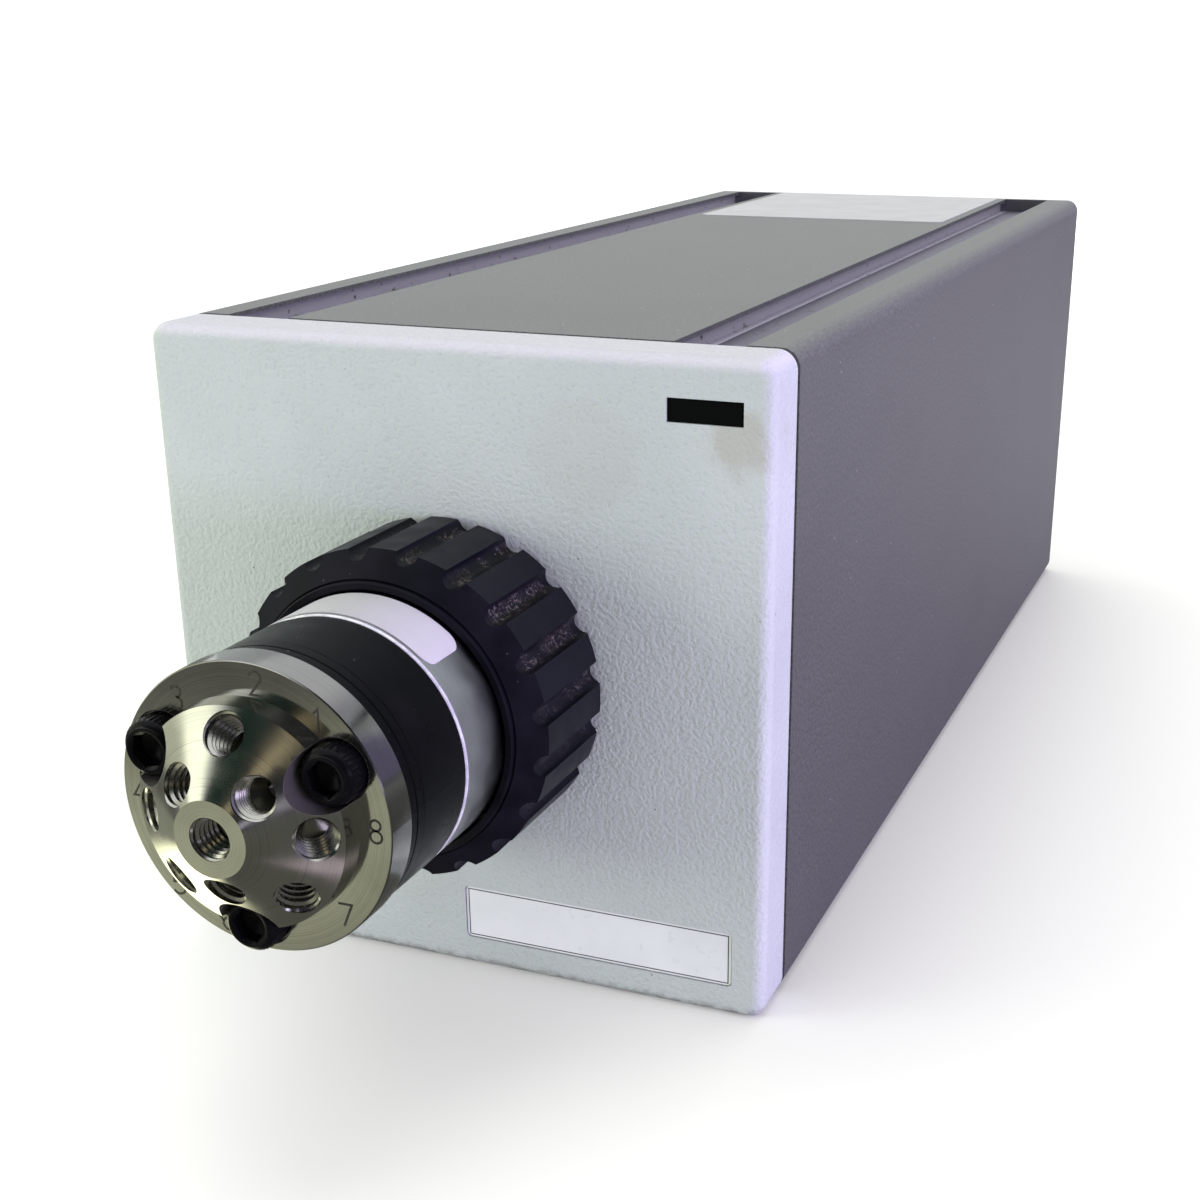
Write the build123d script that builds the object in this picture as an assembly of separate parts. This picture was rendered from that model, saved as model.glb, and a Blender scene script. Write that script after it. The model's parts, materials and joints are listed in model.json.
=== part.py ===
from build123d import *
import os
from math import cos, radians, sin, sqrt

# Motor driven selector and injection valve for liquid chromatography.
# Millimetres. X is to the right, the front faces -Y and +Z is up.
# The origin is the centre of the casing's underside.

# ---------------------------------------------------------------- driving sizes
# Casing extrusion
case_width = 90.0
case_height = 90.0
case_length = 220.0
case_wall = 2.5
case_roof = 5.0
case_corner = 2.5
groove_hook_left = -38.34
groove_spacing = 66.64
groove_opening = 9.85
groove_depth = 2.75
groove_floor = 4.4
groove_undercut = 1.1
groove_hook_thickness = 0.75
port_block = 6.0
port_hole_radius = 1.5
edge_break = 0.4
overrun = 1.0

# Front and rear closures
plate_thickness = 1.0
plate_inset = 0.4
plug_thickness = 4.0
plug_side_clearance = 0.5
plug_clearance = 0.3
plug_opening_clearance = 2.0
panel_depth = 8.67
panel_wall = 2.5
panel_edge_round = 1.6
panel_corner = 2.6
panel_peg_radius = 2.0
panel_peg_clearance = 0.1
peg_reach = 34.0
peg_shoulder = 1.5
peg_setback = 1.0
status_post_radius = 1.2
rear_thickness = 2.0
rear_round = 0.5

# Status window and name plate recess on the front panel
window_width = 10.05
window_height = 3.06
window_from_right = 4.0
window_from_top = 5.2
window_recess = 0.25
window_flange = 1.0
window_flange_thickness = 1.2
window_clearance = 0.05
status_led_size = 2.0
status_led_spacing = 3.2
status_board_gap = 0.3
label_width = 40.4
label_height = 8.1
label_from_bottom = 4.5
label_from_right = 4.6
label_corner = 0.7
label_recess = 0.5
label_thickness = 0.3
label_clearance = 0.12

# Valve axis and quick change interface
axis_height = 45.0
nut_wall = 3.2
nut_standoff = 0.63
nut_land_length = 16.7
nut_cone_length = 2.4
nut_lip_width = 1.35
nut_lip_length = 0.6
nut_lip_groove_width = 0.25
nut_lip_groove_depth = 0.3
nut_lip_rounding = 0.2
nut_bore_clearance = 0.45
nut_flutes = 20
nut_flute_first_angle = 8.5
nut_flute_radius = 1.5
nut_flute_depth = 1.45
nut_back_chamfer = 0.6
nut_lead_in = 0.6
nut_body_clearance = 0.3
thread_clearance = 0.3
socket_reach = 8.53
socket_wall = 3.55
socket_flange_width = 6.85
socket_flange_thickness = 4.0
socket_groove_width = 2.0
socket_groove_depth = 1.3
socket_lead_in = 0.8
socket_bore_lead_in = 0.5
socket_screw_margin = 3.2
socket_screws_count = 4
pilot_length = 4.0
pilot_clearance = 0.1
locating_pin_radius = 1.5
locating_pin_reach = 3.0
locating_pin_sunk = 4.0
locating_pin_clearance = 0.15
pin_fit = 0.02
key_angle = 90.0
opening_clearance = 0.6

# Valve head
body_radius = 17.2
body_reach = 16.2
body_chamfer = 0.5
flange_lip = 1.3
flange_thickness = 5.0
pilot_wall = 2.0
body_front_wall = 8.4
body_front_bore_radius = 10.6
ring_radius = 17.3
ring_length = 12.1
ring_back_step = 0.25
ring_back_land = 1.2
ring_bore_radius = 10.6
collar_length = 2.0
seam_groove = 0.15
disc_overhang = 0.35
disc_length = 4.3
disc_chamfer = 0.15
step_radius = 13.6
step_top_radius = 13.4
step_length = 2.65
cone_length = 5.85
tip_radius = 4.6

# Fluid ports, number 10-32 coned fittings
port_bore_radius = 2.41
port_mouth_radius = 2.62
port_land = 0.15
port_thread_depth = 6.0
centre_thread_depth = 5.0
port_seat_length = 2.4
port_tube_radius = 0.8
port_tube_length = 1.0
port_passage_radius = 0.3
port_face_circle = 3.0
port_clear_above = 3.0
outer_port_circle = 10.8
outer_port_tilt = 38.0
outer_port_angles = (0.0, 90.0, 180.0, 225.0, 315.0)
inner_port_circle = 7.2
inner_port_tilt = 25.0
inner_port_angles = (45.0, 135.0, 270.0)

# Stator screws, M4 socket head cap screws
screw_edge_margin = 0.95
screw_angles = (30.0, 150.0, 270.0)
screw_shank_radius = 2.0
screw_head_radius = 3.5
screw_head_length = 4.0
screw_head_bevel = 0.8
screw_head_sunk = 0.8
screw_socket_flats = 3.8
screw_socket_depth = 2.0
screw_hole_clearance = 0.2
screw_thread_clearance = 0.05
screw_engagement = 6.0
screw_hole_spare = 1.0
pocket_clearance = 0.3
dimple_from_step = 1.0
dimple_radius = 0.8
dimple_depth = 0.8
dimple_angles = (172.0, 248.0)

# Rotor, shaft, preload springs and bearing inside the valve head
face_clearance = 0.4
face_thickness = 2.0
seal_gap = 0.05
seal_radius = 8.0
seal_thickness = 2.5
seal_groove_width = 0.6
seal_groove_depth = 0.3
shaft_head_clearance = 0.6
valve_shaft_radius = 5.0
shaft_head_gap = 1.0
shaft_head_slope = 2.0
shaft_pin_count = 3
shaft_pin_radius = 0.8
shaft_pin_circle = 6.2
shaft_pin_length = 2.0
bearing_race_thickness = 1.5
needle_radius = 1.2
needle_inner = 6.6
needle_outer = 9.8
needle_count = 14
needle_play = 0.03
race_bore_clearance = 0.4
race_fit = 0.03
race_clearance = 1.4
spring_count = 4
spring_thickness = 0.9
spring_inner_radius = 6.2
spring_clearance = 0.6
adjuster_length = 5.0
adjuster_clearance = 0.1
adjuster_bore_clearance = 0.6
adjuster_slot_width = 3.0
adjuster_slot_depth = 1.4
adjuster_setback = 1.0
tang_thickness = 3.0
tang_head_radius = 9.0
tang_length = 3.2
tang_clearance = 0.15
tang_end_gap = 0.4
tang_root = 0.8

# Drive coupling, output shaft and front bearing
hub_radius = 11.5
hub_length = 11.0
hub_chamfer = 0.8
hub_gap = 0.6
slot_web = 1.5
shaft_radius = 6.0
shaft_fit = 0.02
bearing_outer_radius = 14.0
bearing_width = 8.0
race_web = 1.7
race_shoulder = 0.7
ball_clearance = 0.2
front_balls_count = 8
bearing_fit = 0.03
block_roof_gap = 8.0
block_length = 24.0
block_corner = 3.0
block_shoulder_radius = 11.5
block_screw_margin = 6.0
block_screw_short = 0.5
block_head_clearance = 0.3
peg_pocket_clearance = 1.0
peg_pocket_depth = 3.0
bearing_setback = 5.0

# Gear motor
gearbox_radius = 18.0
gearbox_length = 38.0
gearbox_bore_clearance = 0.06
gearbox_seam_from_end = 6.0
gearbox_seam = 0.4
motor_radius = 17.5
motor_length = 58.0
motor_edge = 1.0
motor_boss_radius = 6.0
motor_boss_length = 2.5
motor_shaft_radius = 2.0
motor_shaft_bore = 12.0
motor_shaft_clearance = 0.06
shaft_end_gap = 0.3
encoder_disc_radius = 12.0
encoder_disc_thickness = 1.2
encoder_hub_radius = 4.5
encoder_board_radius = 16.0
encoder_post_radius = 1.6
encoder_post_circle = 14.0
encoder_gap = 2.0
encoder_hub_gap = 0.4
encoder_post_angles = (90.0, 210.0, 330.0)
encoder_chip_width = 6.0
encoder_chip_height = 5.0
encoder_chip_thickness = 1.2
encoder_chip_from_axis = 5.0

# Electronics
board_thickness = 1.6
board_slot_clearance = 0.2
board_edge_clearance = 0.4
board_front_setback = 34.0
board_rear_gap = 0.5
capacitor_count = 3
capacitor_radius = 5.0
capacitor_height = 10.0
capacitor_spacing = 14.0
capacitor_setback = 22.0
capacitor_x = -26.0
board_chips = (
    (-8.0, 6.0, 0.0, 14.0, 1.6),
    (12.0, 24.0, -20.0, -8.0, 5.0),
    (-6.0, 4.0, 34.0, 44.0, 1.6),
    (20.0, 30.0, 20.0, 44.0, 9.0),
)
guide_rib = 1.2
guide_reach = 2.5
reader_width = 6.0
reader_clearance = 0.5
status_board_width = 18.0
status_board_height = 6.5
status_led_length = 1.8

# Rear connectors and screws
lan_width = 16.0
lan_height = 13.4
lan_length = 21.0
lan_from_left = 22.0
lan_mouth_width = 11.8
lan_mouth_height = 7.4
lan_mouth_depth = 13.0
lan_latch_width = 6.0
lan_latch_height = 2.0
lan_proud = 0.4
lan_mouth_raise = 0.6
serial_width = 30.8
serial_height = 12.5
serial_length = 12.0
serial_from_left = 58.0
serial_shell_width = 17.0
serial_shell_height = 8.4
serial_shell_reach = 5.6
serial_jack_spacing = 25.0
serial_taper = 1.5
serial_corner = 1.8
serial_row_offset = 1.4
serial_pin_spacing = 2.77
serial_pin_radius = 0.55
serial_pin_depth = 2.0
jack_radius = 1.5
jack_hole_radius = 1.7
jack_hexagon_radius = 2.7
jack_length = 4.5
jack_bore_radius = 1.1
jack_bore_spare = 0.5
inlet_from_right = 20.0
inlet_from_bottom = 62.0
inlet_radius = 5.5
inlet_flange_radius = 7.5
inlet_flange_thickness = 2.2
inlet_body_length = 14.0
inlet_bore_radius = 3.2
inlet_bore_depth = 9.0
inlet_pin_radius = 1.0
inlet_pin_setback = 1.5
inlet_hole_clearance = 0.1
inlet_nut_radius = 7.5
inlet_nut_thickness = 2.5
cutout_clearance = 0.3
small_screw_radius = 1.5
small_head_radius = 2.75
small_head_length = 1.65
small_head_clearance = 0.1
small_screw_length = 10.0
small_screw_fit = 0.05
small_socket_radius = 1.15
small_socket_depth = 0.9

# Blank stickers
sticker_thickness = 0.12
sticker_film = 0.02
top_sticker_width = 53.0
top_sticker_length = 60.0
top_sticker_from_rear = 0.5
top_sticker_corner = 1.5
body_sticker_half_angle = 46.0
body_sticker_margin = 0.9
body_sticker_corner = 1.6

# ------------------------------------------------------ radii that follow the fits
flange_radius = body_radius + flange_lip
nut_opening = body_radius + nut_body_clearance
nut_lip_radius = nut_opening + nut_lip_width
nut_bore_radius = flange_radius + nut_bore_clearance
nut_radius = nut_bore_radius + nut_wall
socket_radius = nut_bore_radius - thread_clearance
socket_bore = socket_radius - socket_wall
socket_flange_radius = socket_radius + socket_flange_width
socket_screw_circle = socket_flange_radius - socket_screw_margin
pilot_radius = socket_bore - pilot_clearance
pin_circle = (socket_radius + socket_bore) / 2
body_bore_radius = pilot_radius - pilot_wall
race_radius = body_bore_radius - race_clearance
spring_outer_radius = body_bore_radius - spring_clearance
shaft_head_radius = body_front_bore_radius - shaft_head_clearance
face_radius = ring_bore_radius - face_clearance
disc_radius = ring_radius + disc_overhang
screw_circle = disc_radius - screw_edge_margin - screw_head_radius
dimple_circle = step_radius + dimple_from_step
groove_radius = (bearing_outer_radius - shaft_radius) / 2 - race_web
ball_radius = groove_radius - ball_clearance
race_height = race_web + race_shoulder
track_circle = (shaft_radius + bearing_outer_radius) / 2
reader_bore = socket_radius + opening_clearance + reader_clearance

# ------------------------------------------------- stations along the valve axis
seam_y = -case_length / 2
case_rear_y = case_length / 2
plate_front_y = seam_y - plate_thickness
panel_front_y = plate_front_y - panel_depth
panel_back_wall_y = panel_front_y + panel_wall
nut_back_y = panel_front_y - nut_standoff
nut_edge_y = nut_back_y - nut_land_length
nut_nose_y = nut_edge_y - nut_cone_length
nut_front_y = nut_nose_y - nut_lip_length
socket_face_y = panel_front_y - socket_reach
flange_front_y = socket_face_y - flange_thickness
pilot_back_y = socket_face_y + pilot_length
body_front_y = flange_front_y - body_reach
ring_front_y = body_front_y - ring_length
stator_back_y = ring_front_y - collar_length
rim_y = stator_back_y - disc_length
step_y = rim_y - step_length
tip_y = step_y - cone_length
screw_seat_y = rim_y + screw_head_sunk
face_back_y = stator_back_y + face_thickness
seal_back_y = face_back_y + seal_thickness
tang_back_y = pilot_back_y + tang_length
hub_front_y = pilot_back_y + hub_gap
slot_floor_y = tang_back_y + tang_end_gap
hub_back_y = hub_front_y + hub_length
block_front_y = seam_y + plug_thickness
block_back_y = block_front_y + block_length
bearing_front_y = block_front_y + bearing_setback
bearing_back_y = bearing_front_y + bearing_width
gearbox_back_y = block_back_y + gearbox_length
motor_back_y = gearbox_back_y + motor_length
rear_y = case_rear_y + rear_thickness

half_width = case_width / 2
inner_half_width = half_width - case_wall
board_bottom = case_wall + port_block + board_slot_clearance
board_top = board_bottom + board_thickness
roof_inside = case_height - case_roof
corner_x = inner_half_width - port_block / 2
corner_low = case_wall + port_block / 2
corner_high = roof_inside - port_block / 2
corner_points = [(sx * corner_x, z) for sx in (-1, 1) for z in (corner_low, corner_high)]
block_width = 2 * (roof_inside - axis_height - block_roof_gap)
block_screw_spacing = block_width - 2 * block_screw_margin


# ------------------------------------------------------------------ small helpers
def turned(profile):
    """Turn an outline of (radius, y) points about the valve axis."""
    outline = make_face(Polyline(*profile, close=True))
    return Pos(0, 0, axis_height) * revolve(outline, Axis.Y)


def ring(outer, inner, y0, y1):
    """A plain ring, or a disc where inner is 0, on the valve axis."""
    return turned([(inner, y0), (outer, y0), (outer, y1), (inner, y1)])


def along_y(sketch, y0, y1):
    """Extrude an XZ sketch, drawn in XY, from y0 to y1."""
    return Pos(0, y1, 0) * Rot(90, 0, 0) * extrude(sketch, y1 - y0)


def rod(radius, y0, y1, x=0.0, z=axis_height):
    """A round rod along Y."""
    return along_y(Pos(x, z) * Circle(radius), y0, y1)


def block(x0, x1, y0, y1, z0, z1):
    """A box given by its limits."""
    size = Box(x1 - x0, y1 - y0, z1 - z0)
    return Pos((x0 + x1) / 2, (y0 + y1) / 2, (z0 + z1) / 2) * size


def square(width, height, corner):
    """A rounded rectangle that stands on Z = 0, as an XZ sketch."""
    return Pos(0, height / 2) * RectangleRounded(width, height, corner)


def polar(radius, angle):
    """X and Z of a point on a circle about the valve axis, seen from the front."""
    return radius * cos(radians(angle)), axis_height + radius * sin(radians(angle))


def group(parts):
    """Keep separate solids together as one node."""
    return Compound([solid for part in parts for solid in part.solids()])


def spread(count, start=0.0):
    """Evenly spaced angles."""
    return [start + index * 360.0 / count for index in range(count)]


# ------------------------------------------------------------------------ casing
def groove_outline(hook_x):
    """Full length top groove: undercut hook on the left, ramp on the right."""
    top = case_height
    floor = top - groove_depth
    under = top - groove_hook_thickness
    points = [
        (hook_x, top + overrun),
        (hook_x, under),
        (hook_x - groove_undercut, under),
        (hook_x - groove_undercut, floor),
        (hook_x + groove_floor, floor),
        (hook_x + groove_opening, top),
        (hook_x + groove_opening, top + overrun),
    ]
    return make_face(Polyline(*points, close=True))


def cavity_outline():
    """Inside of the extrusion, with corner screw ports and board guides left standing."""
    inside_height = roof_inside - case_wall
    cavity = Pos(0, case_wall + inside_height / 2) * Rectangle(2 * inner_half_width, inside_height)
    for x, z in corner_points:
        cavity -= Pos(x, z) * Rectangle(port_block, port_block)
    rib_z = board_top + board_slot_clearance + guide_rib / 2
    for side in (-1, 1):
        rib_x = side * (inner_half_width - guide_reach / 2)
        cavity -= Pos(rib_x, rib_z) * Rectangle(guide_reach, guide_rib)
    return cavity


def make_casing():
    outline = square(case_width, case_height, case_corner)
    for hook_x in (groove_hook_left, groove_hook_left + groove_spacing):
        outline -= groove_outline(hook_x)
    outline -= cavity_outline()
    for x, z in corner_points:
        outline -= Pos(x, z) * Circle(port_hole_radius)
    return along_y(outline, seam_y, case_rear_y)


# ------------------------------------------------------------------- front closure
peg_points = [(-peg_reach, axis_height), (peg_reach, axis_height)]
block_points = [(sx * block_screw_spacing / 2, axis_height + sz * block_screw_spacing / 2)
                for sx in (-1, 1) for sz in (-1, 1)]
block_screw_end_y = plate_front_y + block_screw_short


def make_front_plate():
    flange = square(case_width - 2 * plate_inset, case_height - plate_inset, case_corner)
    plug_half = inner_half_width - port_block - plug_side_clearance
    plug_low = case_wall + plug_clearance
    plug_high = roof_inside - plug_clearance
    plate = along_y(flange, plate_front_y, seam_y)
    plate += block(-plug_half, plug_half, seam_y, block_front_y, plug_low, plug_high)
    plate -= rod(hub_radius + plug_opening_clearance, plate_front_y, block_front_y)
    for x, z in corner_points:
        plate -= rod(port_hole_radius + small_screw_fit, plate_front_y, seam_y, x, z)
    for x, z in peg_points:
        plate -= rod(panel_peg_radius + panel_peg_clearance, plate_front_y, block_front_y, x, z)
    for angle in spread(socket_screws_count):
        x, z = polar(socket_screw_circle, angle)
        plate -= rod(small_screw_radius + small_screw_fit, plate_front_y, block_front_y, x, z)
    for x, z in block_points:
        plate -= rod(small_screw_radius, block_screw_end_y, block_front_y, x, z)
    return plate


window_x = half_width - window_from_right - window_width / 2
window_z = case_height - window_from_top - window_height / 2
label_x = half_width - label_from_right - label_width / 2
label_z = label_from_bottom + label_height / 2
status_board_x = inner_half_width - status_board_width / 2 - status_board_gap
post_y = panel_back_wall_y + window_flange_thickness + status_led_length


def make_front_panel():
    outside = along_y(square(case_width, case_height, panel_corner), panel_front_y, plate_front_y)
    outside = fillet(outside.faces().sort_by(Axis.Y)[0].edges(), panel_edge_round)
    inside = Pos(0, panel_wall) * square(
        case_width - 2 * panel_wall, case_height - 2 * panel_wall, panel_corner / 2)
    panel = outside - along_y(inside, panel_back_wall_y, plate_front_y)
    panel -= rod(socket_radius + opening_clearance, panel_front_y, panel_back_wall_y)
    lens = Pos(window_x, window_z) * Rectangle(window_width, window_height)
    panel -= along_y(lens, panel_front_y, panel_back_wall_y)
    plate_recess = Pos(label_x, label_z) * RectangleRounded(label_width, label_height, label_corner)
    panel -= along_y(plate_recess, panel_front_y, panel_front_y + label_recess)
    peg_back_y = block_front_y - peg_setback
    panel_inner_y = panel_back_wall_y - panel_wall / 5
    for x, z in peg_points:
        panel += rod(panel_peg_radius, panel_inner_y, peg_back_y, x, z)
        panel += rod(panel_peg_radius + peg_shoulder, panel_inner_y, plate_front_y, x, z)
    post_x = status_board_x - status_board_width / 2 + status_post_radius
    return panel + rod(status_post_radius, panel_inner_y, post_y, post_x, window_z)


def make_label_plate():
    outline = Pos(label_x, label_z) * RectangleRounded(
        label_width - 2 * label_clearance, label_height - 2 * label_clearance,
        label_corner - label_clearance)
    back = panel_front_y + label_recess
    return along_y(outline, back - label_thickness, back)


def make_status_window():
    lens = Pos(window_x, window_z) * Rectangle(
        window_width - 2 * window_clearance, window_height - 2 * window_clearance)
    foot = Pos(window_x, window_z) * Rectangle(
        window_width + 2 * window_flange, window_height + 2 * window_flange)
    front = along_y(lens, panel_front_y + window_recess, panel_back_wall_y)
    return front + along_y(foot, panel_back_wall_y, panel_back_wall_y + window_flange_thickness)


def make_status_leds():
    y0 = panel_back_wall_y + window_flange_thickness
    half = status_led_size / 2
    return group([
        block(x - half, x + half, y0, y0 + status_led_length, window_z - half, window_z + half)
        for x in (window_x - status_led_spacing, window_x, window_x + status_led_spacing)
    ])


def make_status_board():
    outline = Pos(status_board_x, window_z) * Rectangle(status_board_width, status_board_height)
    return along_y(outline, post_y, post_y + board_thickness / 2)


# --------------------------------------------------------------- threaded socket
def make_socket_ring():
    flange_y = plate_front_y - socket_flange_thickness
    groove_y = flange_y - socket_groove_width
    profile = [
        (socket_bore, plate_front_y),
        (socket_flange_radius, plate_front_y),
        (socket_flange_radius, flange_y),
        (socket_radius - socket_groove_depth, flange_y),
        (socket_radius - socket_groove_depth, groove_y),
        (socket_radius, groove_y - socket_groove_depth),
        (socket_radius, socket_face_y + socket_lead_in),
        (socket_radius - socket_lead_in, socket_face_y),
        (socket_bore + socket_bore_lead_in, socket_face_y),
        (socket_bore, socket_face_y + socket_bore_lead_in),
    ]
    socket = turned(profile)
    for angle in spread(socket_screws_count):
        x, z = polar(socket_screw_circle, angle)
        socket -= rod(small_screw_radius + small_screw_fit, flange_y, plate_front_y, x, z)
        head_hole = small_head_radius + small_head_clearance
        socket -= rod(head_hole, flange_y, flange_y + small_head_length, x, z)
    x, z = polar(pin_circle, key_angle)
    pin_seat = socket_face_y + locating_pin_sunk
    return socket - rod(locating_pin_radius + pin_fit, socket_face_y, pin_seat, x, z)


def make_locating_pin():
    x, z = polar(pin_circle, key_angle)
    tip = socket_face_y - locating_pin_reach
    pin = rod(locating_pin_radius, tip, socket_face_y + locating_pin_sunk, x, z)
    return chamfer(pin.faces().sort_by(Axis.Y)[0].edges(), edge_break)


def cap_screw(x, z, seat_y, end_y):
    """Small cap screw: the head is on the far side of the seat from the shank's end."""
    way = 1 if end_y > seat_y else -1
    head_y = seat_y - way * small_head_length
    socket_y = head_y + way * small_socket_depth
    head = rod(small_head_radius, min(head_y, seat_y), max(head_y, seat_y), x, z)
    shank = rod(small_screw_radius - small_screw_fit, min(seat_y, end_y), max(seat_y, end_y), x, z)
    hexagon = Pos(x, z) * RegularPolygon(small_socket_radius, 6)
    return head + shank - along_y(hexagon, min(head_y, socket_y), max(head_y, socket_y))


def make_socket_screws():
    seat = plate_front_y - socket_flange_thickness + small_head_length
    screws = []
    for angle in spread(socket_screws_count):
        x, z = polar(socket_screw_circle, angle)
        screws.append(cap_screw(x, z, seat, block_front_y))
    return group(screws)


def make_front_screws():
    end = plate_front_y + small_screw_length
    return group([cap_screw(x, z, plate_front_y, end) for x, z in corner_points])


def make_rear_screws():
    end = rear_y - small_screw_length
    return group([cap_screw(x, z, rear_y, end) for x, z in corner_points])


def make_reader_board():
    """Ring shaped board behind the panel that reads the valve head's chip."""
    return ring(reader_bore + reader_width, reader_bore,
                panel_back_wall_y, panel_back_wall_y + board_thickness / 2)


# --------------------------------------------------------------------- union nut
def make_union_nut():
    rolled_lip_radius = nut_lip_radius - nut_lip_groove_width
    profile = [
        (nut_bore_radius + nut_lead_in, nut_back_y),
        (nut_radius - nut_back_chamfer, nut_back_y),
        (nut_radius, nut_back_y - nut_back_chamfer),
        (nut_radius, nut_edge_y),
        (nut_lip_radius, nut_nose_y),
        (nut_lip_radius, nut_nose_y + nut_lip_groove_depth),
        (rolled_lip_radius, nut_nose_y + nut_lip_groove_depth),
        (rolled_lip_radius, nut_front_y + nut_lip_rounding),
        (rolled_lip_radius - nut_lip_rounding, nut_front_y),
        (nut_opening + nut_lip_rounding, nut_front_y),
        (nut_opening, nut_front_y + nut_lip_rounding),
        (nut_opening, flange_front_y),
        (nut_bore_radius, flange_front_y),
        (nut_bore_radius, nut_back_y - nut_lead_in),
    ]
    nut = turned(profile)
    cutter_circle = nut_radius - nut_flute_depth + nut_flute_radius
    cutters = []
    for angle in spread(nut_flutes, nut_flute_first_angle):
        x, z = polar(cutter_circle, angle)
        cutters.append(rod(nut_flute_radius, nut_front_y, nut_back_y, x, z))
    return nut.cut(*cutters)


# -------------------------------------------------------------------- valve head
def make_valve_body():
    bore_floor_y = body_front_y + body_front_wall
    profile = [
        (body_bore_radius, pilot_back_y),
        (pilot_radius - edge_break, pilot_back_y),
        (pilot_radius, pilot_back_y - edge_break),
        (pilot_radius, socket_face_y),
        (flange_radius - edge_break, socket_face_y),
        (flange_radius, socket_face_y - edge_break),
        (flange_radius, flange_front_y),
        (body_radius, flange_front_y),
        (body_radius, body_front_y + body_chamfer),
        (body_radius - body_chamfer, body_front_y),
        (body_front_bore_radius, body_front_y),
        (body_front_bore_radius, bore_floor_y),
        (body_bore_radius, bore_floor_y),
    ]
    body = turned(profile)
    for angle in screw_angles:
        x, z = polar(screw_circle, angle)
        hole = screw_shank_radius + screw_thread_clearance
        hole_end = body_front_y + screw_engagement + screw_hole_spare
        body -= rod(hole, body_front_y, hole_end, x, z)
    x, z = polar(pin_circle, key_angle)
    pin_hole = locating_pin_radius + locating_pin_clearance
    pin_end = socket_face_y - locating_pin_reach - edge_break
    body -= rod(pin_hole, pin_end, socket_face_y, x, z)
    return body


def make_stator_ring():
    profile = [
        (ring_bore_radius, body_front_y),
        (ring_radius - ring_back_step, body_front_y),
        (ring_radius - ring_back_step, body_front_y - ring_back_land),
        (ring_radius, body_front_y - ring_back_land - ring_back_step),
        (ring_radius, ring_front_y + seam_groove),
        (ring_radius - seam_groove, ring_front_y),
        (ring_bore_radius, ring_front_y),
    ]
    shell = turned(profile)
    return drill_screws(shell, ring_front_y, body_front_y)


def make_ring_collar():
    profile = [
        (ring_bore_radius, ring_front_y),
        (ring_radius - seam_groove, ring_front_y),
        (ring_radius, ring_front_y - seam_groove),
        (ring_radius, stator_back_y),
        (ring_bore_radius, stator_back_y),
    ]
    return drill_screws(turned(profile), stator_back_y, ring_front_y)


def drill_screws(solid, y0, y1):
    """Clearance holes for the stator screws."""
    for angle in screw_angles:
        x, z = polar(screw_circle, angle)
        solid -= rod(screw_shank_radius + screw_hole_clearance, y0, y1, x, z)
    return solid


def port_frame(circle, angle, tilt):
    """Plane at a port's mouth on the cone, with Z pointing out along the port."""
    if circle == 0:
        mouth_y = tip_y
    else:
        mouth_y = tip_y + (circle - tip_radius) * cone_length / (step_top_radius - tip_radius)
    x, z = polar(circle, angle)
    out = (cos(radians(angle)) * sin(radians(tilt)), -cos(radians(tilt)),
           sin(radians(angle)) * sin(radians(tilt)))
    return Plane(origin=(x, mouth_y, z), z_dir=out)


def port_cutter(circle, angle, tilt, thread_depth):
    """Threaded bore, coned seat and tube pocket, as one turned cutter."""
    mouth = port_frame(circle, angle, tilt)
    seat_end = thread_depth + port_seat_length
    tube_end = seat_end + port_tube_length
    countersink = port_mouth_radius - port_bore_radius
    profile = [
        (0, port_clear_above),
        (port_mouth_radius, port_clear_above),
        (port_mouth_radius, -port_land),
        (port_bore_radius, -port_land - countersink),
        (port_bore_radius, -thread_depth),
        (port_tube_radius, -seat_end),
        (port_tube_radius, -tube_end),
        (0, -tube_end),
    ]
    outline = make_face(Plane.XZ * Polyline(*profile, close=True))
    return mouth.location * revolve(outline, Axis.Z)


def port_passage(circle, angle, tilt, thread_depth):
    """Fine passage from a port's tube pocket to the circle that the rotor seal sweeps."""
    mouth = port_frame(circle, angle, tilt)
    start = mouth.origin - mouth.z_dir * (thread_depth + port_seat_length + port_tube_length / 2)
    x, z = polar(min(circle, port_face_circle), angle)
    way = Vector(x, stator_back_y, z) - start
    bit = Cylinder(port_passage_radius, way.length + overrun / 2, align=(Align.CENTER, Align.CENTER, Align.MIN))
    return Plane(origin=start, z_dir=way).location * bit


def port_list():
    """Every port as (circle, angle, tilt, thread depth), the centre port first."""
    ports = [(0.0, 0.0, 0.0, centre_thread_depth)]
    ports += [(outer_port_circle, a, outer_port_tilt, port_thread_depth) for a in outer_port_angles]
    ports += [(inner_port_circle, a, inner_port_tilt, port_thread_depth) for a in inner_port_angles]
    return ports


def make_stator_head():
    profile = [
        (0, stator_back_y),
        (disc_radius, stator_back_y),
        (disc_radius, rim_y + disc_chamfer),
        (disc_radius - disc_chamfer, rim_y),
        (step_radius, rim_y),
        (step_top_radius, step_y),
        (tip_radius, tip_y),
        (0, tip_y),
    ]
    stator = turned(profile)
    for angle in screw_angles:
        x, z = polar(screw_circle, angle)
        stator -= rod(screw_head_radius + pocket_clearance, tip_y, screw_seat_y, x, z)
    stator = drill_screws(stator, screw_seat_y, stator_back_y)
    for angle in dimple_angles:
        x, z = polar(dimple_circle, angle)
        stator -= rod(dimple_radius, rim_y, rim_y + dimple_depth, x, z)
    cutters = [cut(*port) for port in port_list() for cut in (port_cutter, port_passage)]
    return stator.cut(*cutters)


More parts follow.
